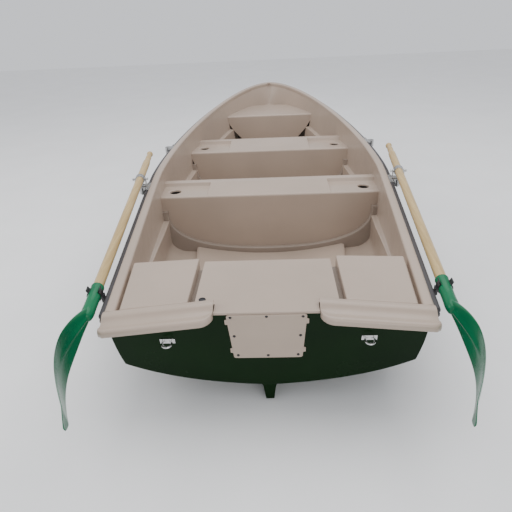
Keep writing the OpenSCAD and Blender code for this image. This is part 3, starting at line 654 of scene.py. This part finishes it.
def skeg_rows():
    """The skeg's outline carried across it in rows that narrow to the foot; its aft corner is
    round and its root spreads into the keel in a small fillet."""
    corner, fillet, spread = 14, 16, 14
    u = np.linspace(0, 0.62, 40)
    keel = keel_line(u, 0.0)
    y, top = keel[:, 1], keel[:, 2] + 3
    into = np.clip(y[0] + corner - y, 0, corner)
    foot = np.where(y < y[0] + 26, corner - np.sqrt(corner ** 2 - into ** 2), 0)
    foot = np.maximum(foot, 4 * np.clip((y - 300) / (y[-1] - 300), 0, 1))
    t = np.linspace(0, 1, 9)
    z = mix(top[:, None], foot[:, None], t)
    root = np.clip(1 - (top[:, None] - z) / fillet, 0, 1)
    half = mix(15.0, 27.0, np.clip(z / KEEL[0], 0, 1)) + spread * root ** 2
    right = np.stack([half, np.repeat(y[:, None], len(t), 1), z], -1)
    return np.concatenate([right, (right * [-1, 1, 1])[:, ::-1]], 1)


rings("skeg_fin", skeg_rows(), HULL, hides=("skeg",), bevel=4)

# ---- rim, rails and caps --------------------------------------------------------------

# the rim's outer and inner faces
A, B = RAIL_W, LINER_IN
RIM_MIDDLE = (A + B) / 2


def arc(cx, cz, r, a0, a1, n=6):
    """Points of an arc, angles in degrees from +d towards +z."""
    a = np.radians(np.linspace(a0, a1, n))
    return np.stack([cx + r * np.cos(a), cz + r * np.sin(a)], -1)


# profiles of distance in and height over the rim
RIM_PROFILE = np.concatenate([
    [[A, -50]], [[A, -30]], arc(A + 10, -10, 10, 180, 90), [[RIM_MIDDLE, 0.8]],
    arc(B - 10, -10, 10, 90, 0),
    [[B, -20], [B, -30], [B - 3, -32], [B - 6, -30], [B - 6, -12], [B - 10, -6], [A + 10, -6],
     [A + 6, -12], [A + 6, -50]]])
RAIL_PROFILE = np.concatenate([
    [[A - 0.3, -56], [9, -56]], arc(9, -47, 9, 270, 180),
    [[0, -40], [2.2, -37.5], [2.2, -32.5], [0, -30]], arc(9, -23, 9, 180, 90), [[A - 0.3, -14]]])


def along_rim(name, profile, finish, n=120, **more):
    """A profile carried from one quarter round the bow to the other."""
    u = stations(n)[:, None]
    d = profile[:, 0] + np.where(profile[:, 0] > RIM_MIDDLE, bow_extra(u), 0)
    a, b = rim_plan(u, 0.0, CAP_FRONT), rim_plan(u, 1.0, CAP_FRONT)
    p = a + (b - a) * d[..., None]
    rows = np.stack([np.maximum(p[..., 0], 0), p[..., 1], sheer_z(p[..., 1]) + profile[:, 1]], -1)
    rows = np.concatenate([rows, rows[-2::-1] * [-1, 1, 1]])
    return rings(name, rows, finish, **more)


along_rim("rim", RIM_PROFILE, LINER, hides=("gunwale_port", "gunwale_starboard"), sharp=50)
along_rim("rub_rail", RAIL_PROFILE, RAIL, hides=("rub_rail_port", "rub_rail_starboard"), sharp=45)

# the caps' profile of distance forward of the transom's edge and height over the cap's line
CAP_TOP = [[45, -3], [38, -0.4], [30, 0.6], [20, -0.4], [11, -5], [3, -12], [-7, -18.5],
           [-19, -22.5], [-31, -22.6], [-41, -19.2], [-50, -18], [-57.5, -21.5], [-61.8, -28],
           [-62, -37], [-60.6, -44], [-57.5, -47.5]]
CAP_UNDER = [[-55, -45], [-54, -40], [-48, -34], [-38, -30], [-28, -27], [-8, -23], [12, -11],
             [30, -6], [45, -9]]


def cap_rows(side):
    """The cap's profile carried across the stern; it turns in to the notch in a round corner."""
    profile = np.concatenate([spline(CAP_TOP, 4), CAP_UNDER])
    corner, outer = 46.0, STERN_HALF - RAIL_W - 1
    a = np.radians(np.linspace(0, 90, 14))
    x = np.concatenate([NOTCH_HALF + corner * (1 - np.cos(a)),
                        np.linspace(NOTCH_HALF + corner, outer, 24)[1:]])
    t = np.clip((x - NOTCH_HALF) / corner, 0, 1)
    reach = 0.30 + 0.70 * np.sqrt(np.clip(1 - (1 - t) ** 2, 0, 1))
    lift = 6 * (1 - t) ** 2
    end = np.clip((outer - x) / 16, 0, 1)
    reach = reach * (0.80 + 0.20 * np.sqrt(1 - (1 - end) ** 2))
    y = profile[:, 0] * np.where(profile[:, 0] < 0, reach[:, None], 1)
    z = cap_z(x)[:, None] + profile[:, 1] + lift[:, None] * np.clip(-profile[:, 0] / 60, 0, 1)
    return np.stack([np.repeat(x[:, None] * side, len(profile), 1), y, z], -1)


for label, side in SIDES:
    rings("stern_cap_" + label, cap_rows(side), LINER, hides=("transom_cap_" + label,),
          sharp=50, bevel=2.0)

# ---- seats ----------------------------------------------------------------------------

# width of the raised strip along a bench's fore edge, and how far the ends sink behind it
STRIP = 62
SINK = 23
# profiles of the hole for a drink and of the cup in it, from the sunk top
HOLE = [[0, -60], [30, -60], [34, -56], [34, -6], [35, -3], [38, -0.6], [43, 0.4], [43, 40],
        [0, 40]]
CUP = [[0, -58], [29.5, -58], [33.2, -54], [33.2, -14], [34.2, -12], [31.6, -12], [31.6, -52],
       [28, -55], [0, -55]]
# the foot band stands this far aft of its bench, and its ends stop this far below the top
BAND_AFT, BAND_LOW = 26, 110


def standing(profile, n=48):
    """Rows of a solid of revolution about Z from [radius, height] pairs."""
    return lathe(profile, n)[..., [0, 2, 1]]


def seat_profile(aft, fore, top, low, r):
    """Closed section of a bench in Y and Z: up the fore face, over the top, down the aft face."""
    up = np.linspace(low, top - r, 60)[:-1]
    a = np.radians(np.linspace(0, 90, 8))
    front = np.stack([fore - r + r * np.cos(a), top - r + r * np.sin(a)], -1)
    back = np.stack([aft + r - r * np.sin(a), top - r + r * np.cos(a)], -1)
    y = np.linspace(fore - r, aft + r, 60)[1:-1]
    flat = np.stack([y, np.full_like(y, top)], -1)
    down = np.linspace(top - r, low, 90)[1:]
    return np.concatenate([np.stack([np.full_like(up, fore), up], -1), front, flat, back,
                           np.stack([np.full_like(down, aft), down], -1)])


def bench(name, aft, width, top, r, hides, recess=None, hole=None):
    """A bench fitted between the liner's walls. Each row is one point of its section, spread
    across the boat; the ends sink behind a raised strip along the fore edge, and the middle
    slopes down aft to their level."""
    fore = aft + width
    low = min(bottom_z(aft, 0), bottom_z(fore, 0)) - 4
    s = np.linspace(-1, 1, 161)
    if recess:
        edge = recess / wall_x(aft + width / 2, top)
        near = [k * edge + np.linspace(-0.02, 0.02, 15) for k in (-1, 1)]
        s = np.unique(np.concatenate([s] + near))
    rows = []
    for y, z in seat_profile(aft, fore, top, low, r):
        x = s * (wall_x(y, z) + 3)
        h = np.full_like(x, z)
        if recess:
            behind = fore - STRIP - y
            ends = smooth((np.abs(x) - recess) / 9) * smooth(behind / 9)
            slope = np.clip(behind / (width - STRIP), 0, 1)
            h = h - SINK * np.maximum(ends, slope) * np.clip((z - top + 120) / 80, 0, 1)
        rows.append(np.stack([x, np.full_like(x, y), h], -1))
    obj = rings(name, np.array(rows).transpose(1, 0, 2), LINER, hides=hides, sharp=40)
    if hole:
        for side in (-1, 1):
            middle = [side * hole, aft + (width - STRIP) / 2, top - SINK]
            rings("%s_cup_%d" % (name, side + 2), standing(CUP) + middle, CLIP)
            cut(obj, rings("hole_cutter", standing(HOLE, 64) + middle, LINER, body=None))
    return obj


def foot_band(name, aft, top, finish):
    """Band along the foot of a bench's aft face: straight rules from the liner's face to a
    curve that lies flat amidships and climbs the sides, with a rounded upper edge."""
    y = aft - BAND_AFT
    x, z = section(y)
    count = np.arange(len(z))
    reach = np.interp(top - BAND_LOW, z[::-1], count[::-1])
    t = np.linspace(-1, 1, 121)
    a, sign = np.abs(t), np.sign(t)
    at_wall = mix(len(z) - 1.0, reach, a)
    foot = np.stack([sign * (np.interp(at_wall, count, x) + 2),
                     np.interp(at_wall, count, z) - 2], -1)
    z0, w = z[-1] + 45, np.interp(reach, count, x) - 34
    edge = np.stack([sign * cubic([0, w * 0.7, w * 1.03, w], a),
                     cubic([z0, z0, z0 + 90, top - BAND_LOW], a)], -1)
    way = (edge - foot) / np.linalg.norm(edge - foot, axis=1, keepdims=True)
    # from the foot up the face, over the rounded edge and forward
    rounded = ((9, 0), (4, 0.6), (1.4, 2.6), (0, 7), (0, 29))
    lines = [(foot, 0), *((edge - way * step, back) for step, back in rounded), (foot, 29)]
    rows = [np.stack([p[:, 0], np.full(len(t), y + back), p[:, 1]], -1) for p, back in lines]
    return rings(name, np.array(rows).transpose(1, 0, 2), finish)


bench("midship_bench", 1315, 250, 440, 11, ("midship_thwart",), recess=365, hole=580)
# the foot bands wear the darker liner copy: painted shade at the foot of each bench
foot_band("midship_foot_band", 1315, 440, PAINTED_SHADE_LINER)
bench("forward_bench", 2220, 300, 455, 11, ("forward_thwart",), recess=303, hole=510)
foot_band("forward_foot_band", 2220, 455, PAINTED_SHADE_LINER)
bench("bow_bench", 3150, 500, 505, 12, ("bow_seat",))


def floor_panel():
    """Raised floor: a shallow dish with rounded edges, carried from its aft end to the foot
    of the midship bench."""
    aft, length, wide, rounding = 640, 648, 460, 9
    s = np.linspace(-1, 1, 61)
    rows = []
    for y in np.concatenate([[640, 641.5, 645, 652], np.linspace(660, 1287, 40)]):
        half = wide * mix(0.86, 1, (y - aft) / length)
        x = s * half
        z = bottom_z(y, 0) + 11 + 56 * (x / wide) ** 2
        edge = np.clip(np.minimum(half - np.abs(x), y - aft) / rounding, 0, 1)
        z = z - rounding * (1 - np.sqrt(1 - (1 - edge) ** 2))
        lower = bottom_z(y, x) + 0.5
        top = np.stack([x, np.full_like(x, y), np.maximum(z, lower)], -1)
        under = np.stack([x, np.full_like(x, y), lower - 3], -1)
        rows.append(np.concatenate([top, under[::-1]]))
    return rings("raised_floor", rows, LINER, hides=("floor_platform",), sharp=40)


floor_panel()


def stern_seat():
    """Middle seat: a plan that narrows to the notch, cut away over the transom to leave a sill."""
    sill, n = NOTCH_HALF - 1, GROOVE_X
    plan = [(-sill, -12), (sill, -12), (sill, CAP_FRONT), (n, CAP_FRONT), (n, SEAT_FRONT),
            (-n, SEAT_FRONT), (-n, CAP_FRONT), (-sill, CAP_FRONT)]
    obj = rings("stern_bench", [[(x, y, z) for x, y in plan] for z in (150.0, SEAT_Z)], LINER,
                hides=("stern_seat",), bevel=7, segments=4)
    cutter = box_points(-700, 700, -200, CAP_FRONT + 1.7, 100, SILL_Z)
    cut(obj, rings("sill_cutter", cutter, LINER, body=None))
    return obj


stern_seat()


def locker_rows(side):
    """Locker: its top falls from the middle to a shallow valley beside the rim."""
    rows = []
    for y in np.linspace(CAP_FRONT, SEAT_FRONT + 10, 7):
        edge = sheer_z(y) - 36
        wall = wall_x(y, edge)
        rows.append([(286, y, bottom_z(y, 286) - 2), (286, y, SEAT_Z + 10),
                     (wall - 20, y, edge + 42), (wall - 13, y, edge + 2), (wall + 3, y, edge + 1),
                     (wall_x(y, 330) + 2, y, 330), (wall_x(y, 250) + 2, y, 250),
                     (400, y, bottom_z(y, 400) - 3)])
    return np.array(rows) * [side, 1, 1]


for label, side in SIDES:
    rings("stern_locker_top_" + label, locker_rows(side), LINER,
          hides=("stern_locker_" + label,), bevel=6, segments=4)
    # floor of the groove between the middle seat and the locker, in the darker liner copy: painted
    # shade in the gap
    groove = [(260, 440), (290, 440), (290, 446), (260, 446)]
    rings("groove_floor_" + label,
          [[(side * x, y, z) for x, z in groove] for y in (CAP_FRONT, 364)], PAINTED_SHADE_LINER)

# ---- fittings on the stern ------------------------------------------------------------


def on_transom(x, z, out=0.0):
    """A point on the transom's aft face, out from it."""
    return np.array([x, rake_y(z) - TRANSOM_T - out, z + out * RAKE])


PAD_TOP, PAD_H, RIBS = 473.7, 216.0, 37
PAD_HALF, PAD_FOOT_HALF = 143.0, 128.0


def ribbed_pad():
    """Pad for the motor: level ribs carried down a tapered plate with round corners."""
    corner, margin = 9, 0.03
    t = np.concatenate([[0, 0.0, 0.004, 0.012, 0.02], np.linspace(margin, 1 - margin, RIBS * 7),
                        [0.98, 0.988, 0.996, 1, 1]])
    near = np.clip(np.minimum(t, 1 - t) * PAD_H / corner, 0, 1)
    inset = corner * (1 - np.sqrt(1 - (1 - near) ** 2))
    phase = np.clip((t - margin) / (1 - 2 * margin), 0, 1) * RIBS * 2 * math.pi
    ribs = (0.5 - 0.5 * np.cos(phase)) ** 0.7
    s = np.array([-1, -1, -0.985, -0.955, -0.93] + list(np.linspace(-0.91, 0.91, 9))
                 + [0.93, 0.955, 0.985, 1, 1])
    edge = np.clip((1 - np.abs(s)) / 0.03, 0, 1)
    out = 0.3 + (5.2 - ribs[:, None] * (edge >= 1)) * np.where(edge > 0, 0.55 + 0.45 * edge, 1.0)
    out[:, [0, -1]] = 0.3
    out[[0, -1]] = 0.3
    x = (mix(PAD_HALF, PAD_FOOT_HALF, t) - inset)[:, None] * s
    z = PAD_TOP - PAD_H * t[:, None] + 0 * s
    return rings("ribbed_pad", np.stack([x, rake_y(z) - TRANSOM_T - out, z], -1), PAD,
                 closed=False, hides=("motor_pad",), sharp=30)


ribbed_pad()


def screw(name, where, axis_out, r=5.5, finish=CLIP):
    """Domed screw head with a dimple, standing out along a direction."""
    profile = [[0, 0.9], [r * 0.22, 1.0], [r * 0.3, 2.4], [r * 0.62, 2.1], [r * 0.9, 1.2], [r, 0.2],
               [r, -1.5], [0, -1.5]]
    dome = lathe(profile, 20)
    w = np.asarray(axis_out, float) / np.linalg.norm(axis_out)
    u = np.cross([0.3, 0.2, 0.9], w)
    u /= np.linalg.norm(u)
    basis = np.array([u, w, np.cross(u, w)])
    return piece(name, dome.reshape(-1, 3) @ basis + where, grid_faces(len(dome), 20, True),
                 finish, sharp=50)


AFT = (0, -1, RAKE)
SCREWS = [(-128, 464), (0, 466), (128, 464), (-120, 372), (120, 372), (-112, 272), (0, 270),
          (112, 272)]
for i, (x, z) in enumerate(SCREWS):
    screw("pad_screw_%d" % (i + 1), on_transom(x, z, 5.6), AFT)
for label, side in SIDES:
    for row, z in enumerate((440, 296)):
        x = mix(PAD_HALF, PAD_FOOT_HALF, (PAD_TOP - z) / PAD_H)
        ring = [(x - 3, z - 14), (x + 9, z - 11), (x + 9, z + 11), (x - 3, z + 14)]
        rings("pad_tab_%s_%d" % (label, row + 1),
              [[on_transom(side * px, pz, out) for px, pz in ring] for out in (0.2, 4.0)],
              PAD, bevel=1.2)
refinish(STAINLESS, "stern_eye_port", "stern_eye_starboard", "bow_eye")
for label, side in SIDES:
    for k in (-1, 1):
        screw("stern_eye_nut_%s_%d" % (label, (k + 3) // 2),
              on_transom(side * (368 + k * 9), 352, 3.2), AFT, r=4.5, finish=STEEL)
# small drain at the aft corner of the middle seat
rings("seat_drain", standing([[0, 0], [13, 0], [13, 2.5], [10, 3.2], [9, 1.2], [0, 1.0]], 32)
      + [-236, 76, SEAT_Z - 0.4], CLIP)
# towing fitting inside the stem
STEM_PLAN = ((-16, 3815), (16, 3815), (7, 3880), (-7, 3880))
rings("stem_fitting", [[(x, y, sheer_z(3870) + h) for x, y in STEM_PLAN] for h in (-3, 9)],
      LINER, bevel=4)

# ---- rowlocks, sockets and clips --------------------------------------------------------


def half_width(y):
    """Half breadth over the rails at y."""
    u = np.linspace(0, 2, 4000)
    p = rim_plan(u, 0.0)
    return float(np.interp(y, p[:, 1], p[:, 0]))


def rim_turn(y):
    """Angle of the rail to the centreline at y, in degrees."""
    return math.degrees(math.atan((half_width(y - 20) - half_width(y + 20)) / 40))


# the sockets' pins stand LOCK_OUT from the rail, and the clips' middles HELD_OUT
LOCK_Y, FORE_Y, CLIP_Y = 1270.0, 1985.0, 165.0
LOCK_OUT, LOCK_UP = 28, 36
HELD_OUT, HELD_DOWN = 34, 6


def pin_foot(y):
    """Foot of a socket's pin, level with the rim."""
    return np.array([half_width(y) + LOCK_OUT * math.cos(math.radians(rim_turn(y))), y, sheer_z(y)])


LOCK = pin_foot(LOCK_Y) + [0, 0, LOCK_UP]
HELD = np.array([half_width(CLIP_Y) + HELD_OUT, CLIP_Y, sheer_z(CLIP_Y) - HELD_DOWN])
RUN = LOCK - HELD
YAW = math.degrees(math.atan2(RUN[0], RUN[1]))
DIP = math.degrees(math.atan2(RUN[2], math.hypot(RUN[0], RUN[1])))

for label, side in SIDES:
    refinish(ZINC, "aft_socket_" + label, "forward_socket_" + label, "rowlock_" + label,
             "oar_collar_" + label)
    refinish(CLIP_PLASTIC, "oar_clip_" + label)


def hexagon_bolt(name, at, r, finish, body):
    """Hexagon head with a washer under it, standing up along local Z."""
    a = np.radians(np.arange(0, 360, 60))
    head = [[(r * k * math.cos(t), r * k * math.sin(t), h) for t in a]
            for k, h in ((1, 1.6), (1, 5.6), (0.86, 6.6))]
    rings(name, head, finish, body=body, at=at, sharp=25)
    washer = standing([[0, 0], [r * 1.35, 0], [r * 1.35, 1.8], [0, 1.8]], 28)
    rings(name + "_washer", washer, finish, body=body, at=at, sharp=40)


# plan of the dark block that backs each socket
BLOCK_PLAN = ((-29, -64), (-21, -60), (-21, 60), (-29, 64))
BAND_PROFILE = [[25.3, -2], [27.4, -1.2], [27.4, 1.2], [25.3, 2], [24.6, 0]]
LUG_OUT = 39.7
for label, side in SIDES:
    for place, y in (("aft", LOCK_Y), ("forward", FORE_Y)):
        slope = math.degrees(math.atan((sheer_z(y + 20) - sheer_z(y - 20)) / 40))
        at = turned(pin_foot(y), yaw=rim_turn(y), pitch=slope, side=side)
        for k in (-1, 1):
            hexagon_bolt("%s_socket_bolt_%s_%d" % (place, label, (k + 3) // 2),
                         lambda p: at(p + [-38, k * 38, -9.6]), 5.5, STEEL, "hull")
        rings("%s_socket_block_%s" % (place, label),
              [[(px, py, z) for px, py in BLOCK_PLAN] for z in (-54, -18)], CLIP, bevel=2.5, at=at)
    # nuts on the collar's lugs, and two bands round the collar
    oar = "oar_" + label
    lugs = turned(LOCK, yaw=-YAW, side=side)
    for k in (-1, 1):
        hexagon_bolt("trunnion_nut_%s_%d" % (label, (k + 3) // 2),
                     lambda p: lugs(np.stack([k * (LUG_OUT + p[:, 2]), p[:, 0], p[:, 1]], -1)),
                     7.0, STEEL, oar)
    for i, along in enumerate((-13, 13)):
        rings("collar_band_%s_%d" % (label, i + 1), lathe(BAND_PROFILE, 64) + [0, along, 0],
              GALVANISED, body=oar, at=turned(LOCK, yaw=-YAW, pitch=DIP, side=side), sharp=40)


# ---- oars -------------------------------------------------------------------------------

# length ahead of the rowlock, whole length, and profiles of [radius, distance aft]
LOOM, OAR = 415.0, 2150.0
BLADE_L, SLEEVE_L = 670.0, 175.0
FLAT = BLADE_L - SLEEVE_L
TIP = LOOM - OAR
GRIP = [[0, 0], [9, 0.6], [15, 3], [18.6, 8], [19.4, 14], [18, 21], [15.2, 28], [14.2, 34],
        [14.4, 42], [15.8, 56], [17.2, 80], [17.4, 100], [16.6, 120], [18.2, 136], [20.4, 152],
        [21.5, 172]]
STOCK = [[21.5, 400], [21.5, 1470], [21.4, 1482], [20.4, 1502], [18.2, 1512], [18, 1590],
         [18, 1626], [0, 1628]]
SLEEVE = [[18.3, 0], [24.5, 0], [25.6, 1.5], [25.6, 7], [24.6, 9], [24.5, 130], [25.2, 150],
          [24.6, 168], [21, 186], [12, 196], [0, 198], [0, 178], [18.3, 176]]
# half of the clip's jaws: the lip's outline from its root
LIP = [[0, 0], [4, 0], [7, 5], [9.5, 12], [7, 14], [3.5, 9]]


def shaft_profile():
    """Radius along the shaft from the grip's end aft: a ball, a waisted grip, a plain loom, and
    a tenon inside the blade's sleeve."""
    p = np.concatenate([spline(GRIP, 5), STOCK])
    return np.stack([np.maximum(p[:, 0], 0), LOOM - p[:, 1]], -1)


def blade_rows():
    """Spoon: closed oval sections along the blade, whose line bows out and back in to the tip;
    each section is dished and has a rib along its middle that fades towards the tip."""
    s = 1 - (1 - np.linspace(0, 1, 60)[:, None]) ** 1.3
    a = np.radians(np.arange(0, 360, 6))[None, :]
    line = 38 * np.sin(np.pi * np.minimum(s * 1.1, 1)) - 60 * s ** 2.4
    widest = 0.45
    root = mix(0.32, 1, np.sin(np.pi / 2 * np.clip(s / widest, 0, 1)))
    end = np.clip(1 - (np.clip(s - widest, 0, None) / 0.56) ** 2.6, 0, 1) ** 0.62
    wide = 75 * np.where(s < widest, root, end)
    thick = 4.2 * mix(3.2, 0.55, smooth(s * 2.0))
    across = np.sin(a)
    body = np.sign(np.cos(a)) * np.abs(np.cos(a)) ** 0.8
    dish = -9.0 * across ** 2 * smooth(s * 3) * (1 - 0.8 * s)
    rib = 5.5 * np.exp(-(across / 0.16) ** 2) * (1 - smooth(s * 1.5)) * np.sign(np.cos(a))
    x = line + thick * body + dish + rib
    y = TIP + (FLAT + 16) * (1 - s) + 0 * a
    return np.stack([x, y, wide * across], -1)


def turned_piece(name, profile, finish, **more):
    """A closed solid of revolution whose profile begins and ends on the axis or meets itself."""
    rows = lathe(profile, 64)
    return piece(name, rows, grid_faces(len(rows), 64, True), finish, **more)


for label, side in SIDES:
    oar = "oar_" + label
    at = turned(LOCK, yaw=-YAW, pitch=DIP, side=side)
    turned_piece("wooden_shaft_" + label, shaft_profile(), SHAFT, body=oar,
                 hides=("oar_shaft_" + label,), at=at, sharp=60)
    turned_piece("blade_sleeve_" + label, [[r, TIP + BLADE_L - d] for r, d in SLEEVE], BLADE,
                 body=oar, at=at, sharp=50)
    rings("spoon_blade_" + label, blade_rows(), BLADE, body=oar, hides=("oar_blade_" + label,),
          at=at, sharp=60)
    # lips of the clip's jaws
    clip_at = turned(HELD, yaw=-YAW, pitch=DIP, side=side)
    for k in (-1, 1):
        jaw = np.array(LIP) * [k, 1] + [k * 17.8, 18.6]
        rings("clip_lip_%s_%d" % (label, (k + 3) // 2),
              [[(x, y, z) for x, z in jaw] for y in (-15, 15)], CLIP, at=clip_at, bevel=1.0)

# ---- floor, light and camera ------------------------------------------------------------

GROUND_Z = -0.8
PALE_FLOOR = skin_material(
    "pale_floor", (0.90, 0.90, 0.90), (0.87, 0.87, 0.87), (0.8, 0.8, 0.8),
    gloss=(0.6, 0.8), scuffs=0.0, ripple=0.2, distance=0.2)
corners = [(-9000, -7000), (9000, -7000), (9000, 13000), (-9000, 13000)]
ground = piece("floor", [(x, y, GROUND_Z) for x, y in corners], [[0, 1, 2, 3]],
               ("floor", PALE_FLOOR), body=None)

world = bpy.context.scene.world or bpy.data.worlds.new("studio")
bpy.context.scene.world = world
world.use_nodes = True
sky = world.node_tree.nodes["Background"]
sky.inputs["Color"].default_value = (0.93, 0.95, 1.0, 1)
sky.inputs["Strength"].default_value = 0.92


def softbox(name, where, look, size, power, colour=(1, 1, 1)):
    """A large rectangular area light that faces a point."""
    light = bpy.data.lights.new(name, "AREA")
    light.shape = "RECTANGLE"
    light.size, light.size_y = size
    light.energy = power
    light.color = colour
    obj = bpy.data.objects.new(name, light)
    bpy.context.scene.collection.objects.link(obj)
    away = Vector(look) - Vector(where)
    obj.location = where
    obj.rotation_euler = away.to_track_quat("-Z", "Y").to_euler()


softbox("overhead", (0.4, 1.6, 4.6), (0, 1.6, 0.2), (4.5, 5.0), 165)
softbox("left_side", (-4.5, 0.5, 3.0), (0, 1.4, 0.2), (3.0, 4.0), 70, (1.0, 0.99, 0.97))
softbox("behind_camera", (1.6, -4.5, 2.6), (0, 0.6, 0.2), (3.0, 2.5), 60, (1.0, 0.98, 0.96))

CAMERA_AT = (0.0442, -1.3888, 1.3461)
PITCH, TURN, ROLL = (math.radians(a) for a in (27.97, 2.92, -2.85))
forward = np.array([-math.sin(TURN) * math.cos(PITCH), math.cos(TURN) * math.cos(PITCH),
                    -math.sin(PITCH)])
level = np.array([math.cos(TURN), math.sin(TURN), 0])
upright = np.cross(level, forward)
right = math.cos(ROLL) * level + math.sin(ROLL) * upright
up = -math.sin(ROLL) * level + math.cos(ROLL) * upright
lens = bpy.data.cameras.new("camera")
lens.lens = 33.6
lens.sensor_width = 36
camera = bpy.data.objects.new("camera", lens)
bpy.context.scene.collection.objects.link(camera)
camera.matrix_world = Matrix([*zip(right, up, -forward, CAMERA_AT), (0, 0, 0, 1)])
bpy.context.scene.camera = camera
